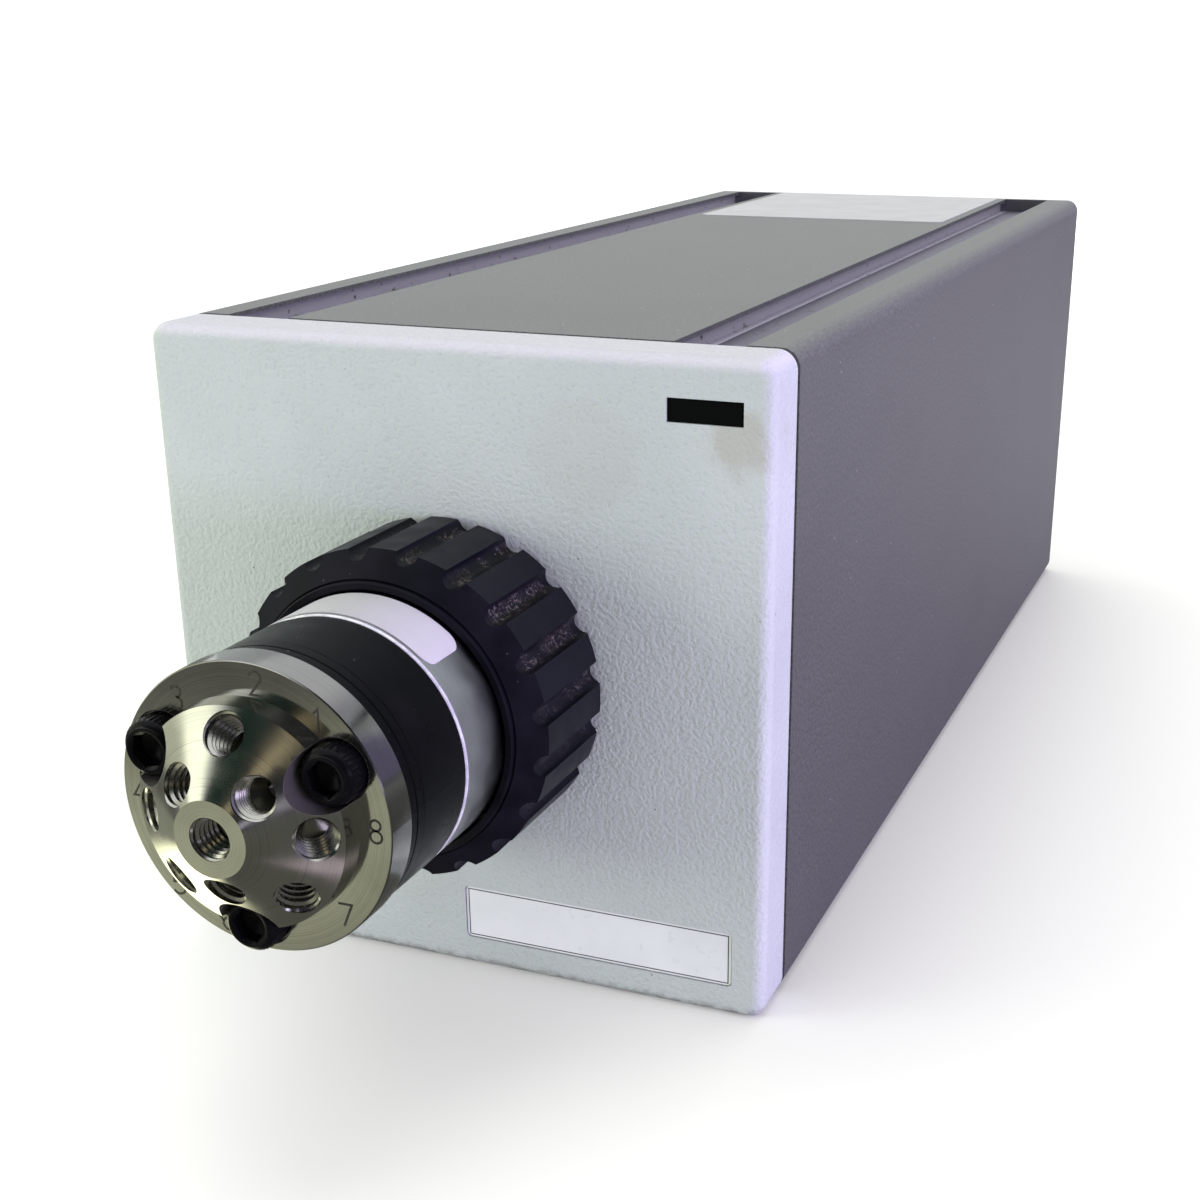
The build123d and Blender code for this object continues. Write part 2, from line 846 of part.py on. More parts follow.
def make_stator_screws():
    shank_end = body_front_y + screw_engagement
    head_y = screw_seat_y - screw_head_length
    screws = []
    for angle in screw_angles:
        x, z = polar(screw_circle, angle)
        head = rod(screw_head_radius, head_y, screw_seat_y, x, z)
        head = chamfer(head.faces().sort_by(Axis.Y)[0].edges(), screw_head_bevel)
        hexagon = Pos(x, z) * RegularPolygon(screw_socket_flats / sqrt(3), 6)
        screw = head + rod(screw_shank_radius, screw_seat_y, shank_end, x, z)
        screws.append(screw - along_y(hexagon, head_y, head_y + screw_socket_depth))
    return group(screws)


# -------------------------------------------------------- inside the valve head
def make_stator_face():
    """Hard insert that carries the sealing face, with the passages of all the ports."""
    face = ring(face_radius, 0, stator_back_y, face_back_y)
    for circle, angle, _, _ in port_list():
        x, z = polar(min(circle, port_face_circle), angle)
        face -= rod(port_passage_radius, stator_back_y, face_back_y, x, z)
    return face


def make_rotor_seal():
    """Disc whose groove joins the centre port to one port of the circle."""
    front = face_back_y + seal_gap
    seal = ring(seal_radius, 0, front, seal_back_y)
    half = seal_groove_width / 2
    return seal - block(-half, port_face_circle + half, front, front + seal_groove_depth,
                        axis_height - half, axis_height + half)


shaft_head_back_y = body_front_y + body_front_wall - shaft_head_gap
race_front_y = shaft_head_back_y
race_mid_y = race_front_y + bearing_race_thickness
race_back_y = race_mid_y + 2 * needle_radius
race_end_y = race_back_y + bearing_race_thickness
adjuster_front_y = pilot_back_y - adjuster_setback - adjuster_length
adjuster_back_y = adjuster_front_y + adjuster_length


def make_valve_shaft():
    tang_y = tang_back_y - tang_length
    profile = [
        (0, seal_back_y),
        (seal_radius, seal_back_y),
        (shaft_head_radius, seal_back_y + shaft_head_slope),
        (shaft_head_radius, shaft_head_back_y),
        (valve_shaft_radius, shaft_head_back_y),
        (valve_shaft_radius, tang_y),
        (0, tang_y),
    ]
    shaft = turned(profile)
    tang = ring(tang_head_radius, 0, tang_y - tang_root, tang_back_y)
    flats = block(-tang_head_radius, tang_head_radius, tang_y - overrun, tang_back_y + overrun,
                  axis_height - tang_thickness / 2, axis_height + tang_thickness / 2)
    shaft = shaft + (tang & flats)
    for angle in spread(shaft_pin_count, key_angle):
        x, z = polar(shaft_pin_circle, angle)
        shaft -= rod(shaft_pin_radius + pin_fit, seal_back_y, seal_back_y + shaft_pin_length, x, z)
    return shaft


def make_seal_pins():
    """Three dowels that turn the rotor seal with the shaft."""
    pins = []
    for angle in spread(shaft_pin_count, key_angle):
        x, z = polar(shaft_pin_circle, angle)
        pins.append(rod(shaft_pin_radius, seal_back_y, seal_back_y + shaft_pin_length, x, z))
    return group(pins)


def make_front_race():
    return ring(shaft_head_radius, valve_shaft_radius + race_fit, race_front_y, race_mid_y)


def make_rear_race():
    return ring(race_radius, valve_shaft_radius + race_bore_clearance, race_back_y, race_end_y)


def make_thrust_needles():
    """Radial rollers of the thrust bearing."""
    needles = []
    y = (race_mid_y + race_back_y) / 2
    length = needle_outer - needle_inner
    for angle in spread(needle_count):
        x, z = polar((needle_inner + needle_outer) / 2, angle)
        roller = Rot(0, 90, 0) * Cylinder(needle_radius - needle_play, length)
        needles.append(Pos(x, y, z) * Rot(0, -angle, 0) * roller)
    return group(needles)


def make_disc_springs():
    """Stack of coned disc springs, alternately turned over."""
    springs = []
    pitch = (adjuster_front_y - race_end_y) / spring_count
    rise = pitch - spring_thickness
    for index in range(spring_count):
        y0 = race_end_y + index * pitch
        inner_first = index % 2 == 0
        low_in, low_out = (y0 + rise, y0) if inner_first else (y0, y0 + rise)
        springs.append(turned([
            (spring_inner_radius, low_in),
            (spring_outer_radius, low_out),
            (spring_outer_radius, low_out + spring_thickness),
            (spring_inner_radius, low_in + spring_thickness),
        ]))
    return group(springs)


def make_adjusting_nut():
    bore = valve_shaft_radius + adjuster_bore_clearance
    nut = ring(body_bore_radius - adjuster_clearance, bore, adjuster_front_y, adjuster_back_y)
    slot_z = axis_height
    nut -= block(-body_bore_radius, body_bore_radius, adjuster_back_y - adjuster_slot_depth,
                 adjuster_back_y, slot_z - adjuster_slot_width / 2, slot_z + adjuster_slot_width / 2)
    return nut


# --------------------------------------------------------------- drive and motor
def make_drive_hub():
    """Slotted coupling on the output shaft that takes the valve's tang."""
    profile = [
        (shaft_radius + shaft_fit, slot_floor_y + slot_web),
        (0, slot_floor_y + slot_web),
        (0, hub_front_y),
        (hub_radius - hub_chamfer, hub_front_y),
        (hub_radius, hub_front_y + hub_chamfer),
        (hub_radius, hub_back_y),
        (shaft_radius + shaft_fit, hub_back_y),
    ]
    hub = turned(profile)
    half_slot = tang_thickness / 2 + tang_clearance
    return hub - block(-hub_radius, hub_radius, hub_front_y, slot_floor_y,
                       axis_height - half_slot, axis_height + half_slot)


def make_output_shaft():
    return rod(shaft_radius, slot_floor_y + slot_web, block_back_y + gearbox_length / 2)


def bearing_ring(outer, inner):
    """One race of the deep groove ball bearing, with its ball track."""
    race = ring(outer, inner, bearing_front_y, bearing_back_y)
    middle_y = (bearing_front_y + bearing_back_y) / 2
    track = Pos(0, middle_y, axis_height) * Rot(90, 0, 0) * Torus(track_circle, groove_radius)
    return race - track


def make_bearing_inner():
    return bearing_ring(shaft_radius + race_height, shaft_radius + shaft_fit)


def make_bearing_outer():
    return bearing_ring(bearing_outer_radius, bearing_outer_radius - race_height)


def make_bearing_balls():
    middle_y = (bearing_front_y + bearing_back_y) / 2
    balls = []
    for angle in spread(front_balls_count, key_angle):
        x, z = polar(track_circle, angle)
        balls.append(Pos(x, middle_y, z) * Sphere(ball_radius))
    return group(balls)


def make_bearing_block():
    outline = Pos(0, axis_height) * RectangleRounded(block_width, block_width, block_corner)
    body = along_y(outline, block_front_y, block_back_y)
    body -= rod(bearing_outer_radius + bearing_fit, block_front_y, bearing_back_y)
    body -= rod(block_shoulder_radius, bearing_back_y, block_back_y)
    for x, z in block_points:
        body -= rod(small_screw_radius + small_screw_fit, block_front_y, block_back_y, x, z)
        head_hole = small_head_radius + block_head_clearance
        body -= rod(head_hole, block_front_y + block_length / 2, block_back_y, x, z)
    for x, z in peg_points:
        pocket = panel_peg_radius + peg_pocket_clearance
        body -= rod(pocket, block_front_y, block_front_y + peg_pocket_depth, x, z)
    return body


def make_block_screws():
    seat = block_front_y + block_length / 2
    return group([cap_screw(x, z, seat, block_screw_end_y) for x, z in block_points])


def make_gearbox():
    shaft_end_y = block_back_y + gearbox_length / 2 + shaft_end_gap
    body = ring(gearbox_radius, shaft_radius + gearbox_bore_clearance, block_back_y, gearbox_back_y)
    body += ring(gearbox_radius, 0, shaft_end_y, gearbox_back_y)
    for y in (block_back_y + gearbox_seam_from_end, gearbox_back_y - gearbox_seam_from_end):
        body -= ring(gearbox_radius, gearbox_radius - gearbox_seam, y - gearbox_seam, y + gearbox_seam)
    return body


def make_motor():
    profile = [
        (0, gearbox_back_y),
        (motor_radius, gearbox_back_y),
        (motor_radius, motor_back_y - motor_edge),
        (motor_radius - motor_edge, motor_back_y),
        (motor_boss_radius, motor_back_y),
        (motor_boss_radius, motor_back_y + motor_boss_length),
        (motor_shaft_radius + motor_shaft_clearance, motor_back_y + motor_boss_length),
        (motor_shaft_radius + motor_shaft_clearance, motor_back_y - motor_shaft_bore),
        (0, motor_back_y - motor_shaft_bore),
    ]
    return turned(profile)


disc_y = motor_back_y + motor_boss_length + encoder_gap
encoder_board_y = disc_y + encoder_disc_thickness + encoder_gap


def make_motor_shaft():
    start = motor_back_y - motor_shaft_bore + shaft_end_gap
    return rod(motor_shaft_radius, start, disc_y + encoder_disc_thickness)


def make_encoder_disc():
    bore = motor_shaft_radius + shaft_fit
    hub_y = disc_y - encoder_gap + encoder_hub_gap
    profile = [
        (bore, hub_y),
        (encoder_hub_radius, hub_y),
        (encoder_hub_radius, disc_y),
        (encoder_disc_radius, disc_y),
        (encoder_disc_radius, disc_y + encoder_disc_thickness),
        (bore, disc_y + encoder_disc_thickness),
    ]
    return turned(profile)


def make_encoder_board():
    board = ring(encoder_board_radius, 0, encoder_board_y, encoder_board_y + board_thickness)
    chip_z = axis_height + encoder_chip_from_axis
    chip = block(-encoder_chip_width / 2, encoder_chip_width / 2,
                 encoder_board_y - encoder_chip_thickness, encoder_board_y,
                 chip_z, chip_z + encoder_chip_height)
    return board + chip


def make_encoder_posts():
    posts = []
    for angle in encoder_post_angles:
        x, z = polar(encoder_post_circle, angle)
        posts.append(rod(encoder_post_radius, motor_back_y, encoder_board_y, x, z))
    return group(posts)


# -------------------------------------------------------------------- electronics
def make_main_board():
    half = inner_half_width - board_edge_clearance
    return block(-half, half, seam_y + board_front_setback, case_rear_y - board_rear_gap,
                 board_bottom, board_top)


def make_board_parts():
    """Capacitors, coils and chips on the main board."""
    base = board_top
    parts = []
    for index in range(capacitor_count):
        y = seam_y + board_front_setback + capacitor_setback + capacitor_spacing * index
        can = Cylinder(capacitor_radius, capacitor_height)
        parts.append(Pos(capacitor_x, y, base + capacitor_height / 2) * can)
    for x0, x1, y0, y1, height in board_chips:
        parts.append(block(x0, x1, y0, y1, base, base + height))
    return group(parts)


# -------------------------------------------------------------------- rear closure
lan_x = -half_width + lan_from_left
serial_x = -half_width + serial_from_left
lan_z = board_top + lan_height / 2
serial_z = board_top + serial_height / 2
inlet_x = half_width - inlet_from_right
inlet_z = inlet_from_bottom


def serial_outline(grow):
    """The D shape of a nine way serial connector."""
    half = serial_shell_width / 2 + grow
    low = half - serial_taper
    high_z = serial_shell_height / 2 + grow
    points = [(-half, high_z), (half, high_z), (low, -high_z), (-low, -high_z)]
    shape = make_face(Polyline(*points, close=True))
    return Pos(serial_x, serial_z) * fillet(shape.vertices(), serial_corner)


def make_rear_panel():
    panel = along_y(square(case_width, case_height, case_corner), case_rear_y, rear_y)
    panel = chamfer(panel.faces().sort_by(Axis.Y)[-1].edges(), rear_round)
    for x, z in corner_points:
        panel -= rod(small_screw_radius + small_screw_fit, case_rear_y, rear_y, x, z)
    lan_cut = Pos(lan_x, lan_z) * Rectangle(lan_width + 2 * cutout_clearance,
                                            lan_height + 2 * cutout_clearance)
    panel -= along_y(lan_cut, case_rear_y, rear_y)
    panel -= along_y(serial_outline(cutout_clearance), case_rear_y, rear_y)
    for side in (-1, 1):
        jack_x = serial_x + side * serial_jack_spacing / 2
        panel -= rod(jack_hole_radius, case_rear_y, rear_y, jack_x, serial_z)
    panel -= rod(inlet_radius + inlet_hole_clearance, case_rear_y, rear_y, inlet_x, inlet_z)
    return panel


def make_lan_socket():
    mouth_z = lan_z + lan_mouth_raise
    mouth_front = rear_y + lan_proud
    body = block(lan_x - lan_width / 2, lan_x + lan_width / 2,
                 mouth_front - lan_length, mouth_front, board_top, board_top + lan_height)
    body -= block(lan_x - lan_mouth_width / 2, lan_x + lan_mouth_width / 2,
                  mouth_front - lan_mouth_depth, mouth_front,
                  mouth_z - lan_mouth_height / 2, mouth_z + lan_mouth_height / 2)
    body -= block(lan_x - lan_latch_width / 2, lan_x + lan_latch_width / 2,
                  mouth_front - lan_mouth_depth, mouth_front,
                  mouth_z - lan_mouth_height / 2 - lan_latch_height, mouth_z)
    return body


def make_serial_socket():
    body = block(serial_x - serial_width / 2, serial_x + serial_width / 2,
                 case_rear_y - serial_length, case_rear_y, board_top, board_top + serial_height)
    shell = along_y(serial_outline(0), case_rear_y - overrun, case_rear_y + serial_shell_reach)
    socket = body + shell
    for side in (-1, 1):
        jack_x = serial_x + side * serial_jack_spacing / 2
        socket += rod(jack_radius, case_rear_y - overrun, rear_y, jack_x, serial_z)
        hexagon = Pos(jack_x, serial_z) * RegularPolygon(jack_hexagon_radius, 6)
        jack_end = rear_y + jack_length
        socket += along_y(hexagon, rear_y, jack_end)
        socket -= rod(jack_bore_radius, rear_y - jack_bore_spare, jack_end, jack_x, serial_z)
    tip = case_rear_y + serial_shell_reach
    for row, count in ((serial_row_offset, 5), (-serial_row_offset, 4)):
        for index in range(count):
            pin_x = serial_x + (index - (count - 1) / 2) * serial_pin_spacing
            socket -= rod(serial_pin_radius, tip - serial_pin_depth, tip, pin_x, serial_z + row)
    return socket


def make_power_inlet():
    front = rear_y + inlet_flange_thickness
    profile_x = [
        (0, front - inlet_body_length),
        (inlet_radius, front - inlet_body_length),
        (inlet_radius, rear_y),
        (inlet_flange_radius, rear_y),
        (inlet_flange_radius, front - edge_break),
        (inlet_flange_radius - edge_break, front),
        (inlet_bore_radius, front),
        (inlet_bore_radius, front - inlet_bore_depth),
        (inlet_pin_radius, front - inlet_bore_depth),
        (inlet_pin_radius, front - inlet_pin_setback),
        (0, front - inlet_pin_setback),
    ]
    outline = make_face(Polyline(*profile_x, close=True))
    return Pos(inlet_x, 0, inlet_z) * revolve(outline, Axis.Y)


def make_inlet_nut():
    hexagon = Pos(inlet_x, inlet_z) * RegularPolygon(inlet_nut_radius, 6)
    hexagon -= Pos(inlet_x, inlet_z) * Circle(inlet_radius + inlet_hole_clearance)
    return along_y(hexagon, case_rear_y - inlet_nut_thickness, case_rear_y)


# ------------------------------------------------------------------ blank stickers
def make_top_sticker():
    outline = RectangleRounded(top_sticker_width, top_sticker_length, top_sticker_corner)
    y = case_rear_y - top_sticker_from_rear - top_sticker_length / 2
    return Pos(0, y, case_height) * extrude(outline, sticker_thickness)


def make_body_sticker():
    front = body_front_y + body_sticker_margin
    back = nut_front_y - body_sticker_margin / 2
    skin = body_radius + sticker_film
    sheet = ring(skin + sticker_thickness, skin, front, back)
    half = body_radius * sin(radians(body_sticker_half_angle))
    outline = RectangleRounded(2 * half, back - front, body_sticker_corner)
    prism = Pos(0, (front + back) / 2, axis_height) * extrude(outline, 2 * body_radius)
    return sheet & prism


# -------------------------------------------------------------------------- nodes
nodes = {
    "casing": make_casing,
    "front_panel": make_front_panel,
    "front_plate": make_front_plate,
    "front_screws": make_front_screws,
    "label_plate": make_label_plate,
    "status_window": make_status_window,
    "status_leds": make_status_leds,
    "status_board": make_status_board,
    "socket_ring": make_socket_ring,
    "socket_screws": make_socket_screws,
    "locating_pin": make_locating_pin,
    "reader_board": make_reader_board,
    "bearing_block": make_bearing_block,
    "block_screws": make_block_screws,
    "bearing_outer_race": make_bearing_outer,
    "bearing_balls": make_bearing_balls,
    "gearbox": make_gearbox,
    "motor": make_motor,
    "encoder_board": make_encoder_board,
    "encoder_posts": make_encoder_posts,
    "main_board": make_main_board,
    "board_components": make_board_parts,
    "rear_panel": make_rear_panel,
    "rear_screws": make_rear_screws,
    "lan_socket": make_lan_socket,
    "serial_socket": make_serial_socket,
    "power_inlet": make_power_inlet,
    "inlet_nut": make_inlet_nut,
    "top_sticker": make_top_sticker,
    "output_shaft": make_output_shaft,
    "drive_hub": make_drive_hub,
    "bearing_inner_race": make_bearing_inner,
    "motor_shaft": make_motor_shaft,
    "encoder_disc": make_encoder_disc,
    "union_nut": make_union_nut,
    "valve_body": make_valve_body,
    "body_sticker": make_body_sticker,
    "stator_ring": make_stator_ring,
    "ring_collar": make_ring_collar,
    "stator_head": make_stator_head,
    "stator_screws": make_stator_screws,
    "stator_face": make_stator_face,
    "adjusting_nut": make_adjusting_nut,
    "disc_springs": make_disc_springs,
    "rear_race": make_rear_race,
    "thrust_needles": make_thrust_needles,
    "rotor_seal": make_rotor_seal,
    "valve_shaft": make_valve_shaft,
    "seal_pins": make_seal_pins,
    "front_race": make_front_race,
}

os.makedirs("parts", exist_ok=True)
for name, make in nodes.items():
    export_step(make(), f"parts/{name}.step")
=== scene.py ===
import json
import math

import bpy
from mathutils import Matrix, Vector


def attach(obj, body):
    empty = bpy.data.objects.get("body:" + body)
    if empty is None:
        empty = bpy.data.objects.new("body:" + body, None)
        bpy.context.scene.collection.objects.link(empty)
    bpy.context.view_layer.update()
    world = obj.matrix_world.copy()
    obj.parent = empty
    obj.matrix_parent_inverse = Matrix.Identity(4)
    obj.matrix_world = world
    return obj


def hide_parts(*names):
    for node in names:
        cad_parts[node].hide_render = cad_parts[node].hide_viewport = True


# Looks of a motor driven valve for liquid chromatography.
# Metres, in the CAD frame: the front faces -Y and +Z is up.

MM = 0.001
AXIS_HEIGHT = 45.0 * MM
SCREW_CIRCLE, SCREW_ANGLES = 13.2 * MM, (30, 150, 270)
SCREW_POCKET_RADIUS = 3.8 * MM
STATOR_RADIUS = 17.5 * MM
SMOOTH_ANGLE = math.radians(35)

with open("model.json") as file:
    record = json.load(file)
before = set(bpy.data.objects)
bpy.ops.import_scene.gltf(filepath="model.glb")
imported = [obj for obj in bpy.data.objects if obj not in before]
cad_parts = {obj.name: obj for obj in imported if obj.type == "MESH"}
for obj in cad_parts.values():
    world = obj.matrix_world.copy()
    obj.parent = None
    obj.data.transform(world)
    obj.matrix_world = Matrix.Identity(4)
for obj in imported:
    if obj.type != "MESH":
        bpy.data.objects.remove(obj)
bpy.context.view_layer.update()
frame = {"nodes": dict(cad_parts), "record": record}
nodes = frame["nodes"]


# ------------------------------------------------------------------ mesh helpers
def new_piece(name, verts, faces, body, slot, surface):
    """Make a mesh piece that rides on a body and wears the given surface."""
    mesh = bpy.data.meshes.new(name)
    mesh.from_pydata([tuple(v) for v in verts], [], faces)
    mesh.validate()
    mesh.update()
    piece = bpy.data.objects.new(name, mesh)
    bpy.context.scene.collection.objects.link(piece)
    for polygon in mesh.polygons:
        polygon.use_smooth = True
    mesh.set_sharp_from_angle(angle=SMOOTH_ANGLE)
    mesh.materials.append(surface)
    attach(piece, body)
    return piece


def skin(rings):
    """Verts and faces of a tube through rings of equally many points, capped at both ends."""
    count = len(rings[0])
    verts = [v for ring in rings for v in ring]
    faces = []
    for row in range(len(rings) - 1):
        for i in range(count):
            j = (i + 1) % count
            low, high = row * count, (row + 1) * count
            faces.append((low + i, low + j, high + j, high + i))
    last = (len(rings) - 1) * count
    faces.append(tuple(reversed(range(count))))
    faces.append(tuple(range(last, last + count)))
    return verts, faces


def joined(shapes):
    """Several (verts, faces) shapes as one."""
    verts, faces = [], []
    for some_verts, some_faces in shapes:
        base = len(verts)
        verts += some_verts
        faces += [tuple(base + i for i in face) for face in some_faces]
    return verts, faces


def placed(shape, matrix):
    """A shape moved by a matrix."""
    verts, faces = shape
    return [matrix @ Vector(v) for v in verts], faces


def helix_ridge(crest, root, pitch, start, end, steps=30):
    """A thread ridge about +Z from start to end, running out at both ends. Root is sunk in the wall."""
    half_root, half_crest = 0.425 * pitch, 0.1 * pitch
    turns = (end - start) / pitch
    count = max(2, round(turns * steps))
    rings = []
    for k in range(count + 1):
        share = k / count
        angle = 2 * math.pi * turns * share
        z = start + pitch * turns * share
        fade = min(1.0, 2.5 * turns * share, 2.5 * turns * (1 - share))
        tip = root + (crest - root) * max(fade, 0.02)
        out = Vector((math.cos(angle), math.sin(angle), 0))
        rings.append([
            out * root + Vector((0, 0, z - half_root)),
            out * tip + Vector((0, 0, z - half_crest)),
            out * tip + Vector((0, 0, z + half_crest)),
            out * root + Vector((0, 0, z + half_root)),
        ])
    return skin(rings)


def along_valve(place):
    """Matrix that takes +Z to the front, -Y, with its origin at place."""
    return Matrix.Translation(place) @ Matrix.Rotation(math.radians(90), 4, "X")


def screw_place(angle, y=0.0):
    """Point on the axis of the stator screw at an angle round the valve axis."""
    turn = math.radians(angle)
    return SCREW_CIRCLE * math.cos(turn), y, AXIS_HEIGHT + SCREW_CIRCLE * math.sin(turn)


# --------------------------------------------------------------- material helpers
class Surface:
    """A procedural material built round one Principled shader."""

    def __init__(self, name, color, roughness, **sockets):
        self.material = bpy.data.materials.new(name)
        self.material.use_nodes = True
        self.nodes = self.material.node_tree.nodes
        self.links = self.material.node_tree.links
        self.shader = self.nodes["Principled BSDF"]
        self.set("Base Color", (*color, 1.0))
        self.set("Roughness", roughness)
        for socket, value in sockets.items():
            self.set(socket.replace("_", " "), value)
        self.coords = self.nodes.new("ShaderNodeTexCoord").outputs["Object"]
        self.normal = None

    def set(self, socket, value):
        """Give a socket of the shader a plain value."""
        self.shader.inputs[socket].default_value = value

    def feed(self, node, socket, value):
        """Link an output to a socket, or set it where the value is a number or colour."""
        if isinstance(value, bpy.types.NodeSocket):
            self.links.new(value, node.inputs[socket])
        else:
            node.inputs[socket].default_value = value

    def spot(self, stretch, centre=(0, 0, 0)):
        """The object's own coordinates, moved and stretched."""
        mapping = self.nodes.new("ShaderNodeMapping")
        self.links.new(self.coords, mapping.inputs["Vector"])
        mapping.inputs["Location"].default_value = [-c * s for c, s in zip(centre, stretch)]
        mapping.inputs["Scale"].default_value = stretch
        return mapping.outputs["Vector"]

    def noise(self, size, detail=3.0, rough=0.5, stretch=(1, 1, 1), where=None):
        """Noise whose features are about size metres across."""
        node = self.nodes.new("ShaderNodeTexNoise")
        self.links.new(where or self.spot(stretch), node.inputs["Vector"])
        node.inputs["Scale"].default_value = 1.0 / size
        node.inputs["Detail"].default_value = detail
        node.inputs["Roughness"].default_value = rough
        return node.outputs["Fac"]

    def cells(self, size):
        """Voronoi distance whose cells are about size metres across."""
        node = self.nodes.new("ShaderNodeTexVoronoi")
        self.links.new(self.coords, node.inputs["Vector"])
        node.inputs["Scale"].default_value = 1.0 / size
        return node.outputs["Distance"]

    def axis_radius(self, centre=(0, 0, AXIS_HEIGHT)):
        """Distance from a line along Y, which is the valve axis unless another is given."""
        flat = self.spot((1, 0, 1), centre)
        node = self.nodes.new("ShaderNodeVectorMath")
        node.operation = "LENGTH"
        self.links.new(flat, node.inputs[0])
        return node.outputs["Value"]

    def part(self, axis):
        """One coordinate of the surface point."""
        node = self.nodes.new("ShaderNodeSeparateXYZ")
        self.links.new(self.coords, node.inputs[0])
        return node.outputs[axis]

    def calc(self, operation, a, b=0.0):
        """One sum on two numbers or outputs."""
        node = self.nodes.new("ShaderNodeMath")
        node.operation = operation
        self.feed(node, 0, a)
        self.feed(node, 1, b)
        return node.outputs[0]

    def both(self, a, b):
        """Product of two masks, or of a mask and its strength."""
        return self.calc("MULTIPLY", a, b)

    def specks(self, spacing, core, edge, patch, start, end):
        """Dots about spacing apart, only where a noise patch metres wide rises past start to end."""
        dots = self.span(self.cells(spacing), core, edge, 1.0, 0.0)
        return self.both(dots, self.span(self.noise(patch, 2.0), start, end))

    def span(self, value, low, high, to_low=0.0, to_high=1.0):
        """Map low..high smoothly to to_low..to_high."""
        node = self.nodes.new("ShaderNodeMapRange")
        node.interpolation_type = "SMOOTHSTEP"
        self.feed(node, "Value", value)
        node.inputs["From Min"].default_value = low
        node.inputs["From Max"].default_value = high
        node.inputs["To Min"].default_value = to_low
        node.inputs["To Max"].default_value = to_high
        return node.outputs["Result"]

    def mix(self, share, a, b):
        """Blend two colours."""
        node = self.nodes.new("ShaderNodeMix")
        node.data_type = "RGBA"
        self.feed(node, 0, share)
        for index, value in ((6, a), (7, b)):
            if isinstance(value, tuple):
                value = (*value, 1.0)
            self.feed(node, index, value)
        return node.outputs[2]

    def paint(self, color):
        """Set the base colour."""
        self.feed(self.shader, "Base Color", color)

    def gloss(self, roughness):
        """Set the roughness."""
        self.feed(self.shader, "Roughness", roughness)

    def bump(self, height, depth, strength):
        """Add relief of the given depth in metres on top of the relief so far."""
        node = self.nodes.new("ShaderNodeBump")
        node.inputs["Distance"].default_value = depth
        node.inputs["Strength"].default_value = strength
        self.feed(node, "Height", height)
        if self.normal:
            self.links.new(self.normal, node.inputs["Normal"])
        self.normal = node.outputs["Normal"]
        self.links.new(self.normal, self.shader.inputs["Normal"])

    def tangent(self):
        """Grain that runs round the Y axis through the middle of the piece."""
        node = self.nodes.new("ShaderNodeTangent")
        node.direction_type = "RADIAL"
        node.axis = "Y"
        self.links.new(node.outputs["Tangent"], self.shader.inputs["Tangent"])


# ---------------------------------------------------------------------- materials
# Stains on the front panel: x, z, reach in millimetres, and strength
PANEL_STAINS = ((40.4, 79.8, 6.4, 0.55), (20.0, 76.5, 10.0, 0.16), (-8.0, 17.0, 11.0, 0.12))
# The casing's top grooves lie between these distances from the middle, undercuts included
GROOVE_FROM, GROOVE_TO, GROOVE_TOP = 26.6 * MM, 39.7 * MM, 89.6 * MM
# Middle of the blank plate, and how far from it the printed outline starts
LABEL_CENTRE_X, LABEL_CENTRE_Z = 20.2 * MM, 8.55 * MM
LABEL_LINE_X, LABEL_LINE_Z = 19.55 * MM, 3.5 * MM
# Where the sleeve's film ends, and where its seam runs on top
FILM_EDGE_Y, FILM_SEAM_X = -159.9 * MM, -7.2 * MM
# The nut's flutes: their floor and rim radius, and where they start behind its front
FLUTE_FLOOR, FLUTE_RIM, FLUTE_FRONT_Y = 20.9 * MM, 21.7 * MM, -137.4 * MM


def panel_paint():
    """Pale moulding with a leathery grain, a painted highlight along its top edge, faint stains and grime
    low down.
    """
    s = Surface("panel_paint", (0.35, 0.39, 0.38), 0.42)
    grain = s.noise(0.56 * MM, detail=3.0, rough=0.5)
    s.bump(s.span(grain, 0.34, 0.66), 0.10 * MM, 0.72)
    s.bump(s.noise(0.25 * MM, detail=1.0), 0.02 * MM, 0.5)
    blotch = s.noise(22 * MM, detail=3.0)
    paint = s.mix(s.span(blotch, 0.3, 0.75), (0.330, 0.368, 0.352), (0.356, 0.394, 0.378))
    pits = s.span(grain, 0.30, 0.42, 0.22, 0.0)
    paint = s.mix(pits, paint, (0.19, 0.20, 0.21))
    for x, z, reach, strength in PANEL_STAINS:
        away = s.axis_radius((x * MM, 0, z * MM))
        ragged = s.calc("ADD", away, s.both(s.noise(3 * MM), 5 * MM))
        stain = s.span(ragged, 0.75 * reach * MM, (reach + 1.5) * MM, strength, 0.0)
        paint = s.mix(stain, paint, (0.262, 0.268, 0.215))
    # Painted highlight: the top edge band is paler and bluer, as if lit from above.
    paint = s.mix(s.span(s.part("Z"), 88.0 * MM, 89.4 * MM, 0.0, 0.9), paint, (0.425, 0.425, 0.455))
    low = s.span(s.part("Z"), 0.0, 2.2 * MM, 0.6, 0.0)
    grime = s.both(low, s.span(s.noise(1.2 * MM, 4.0), 0.4, 0.62))
    speck = s.both(s.specks(3.4 * MM, 0.035, 0.055, 9 * MM, 0.56, 0.60), 0.8)
    s.paint(s.mix(s.calc("MAXIMUM", grime, speck), paint, (0.085, 0.075, 0.065)))
    s.gloss(s.span(grain, 0.3, 0.7, 0.50, 0.36))
    return s.material


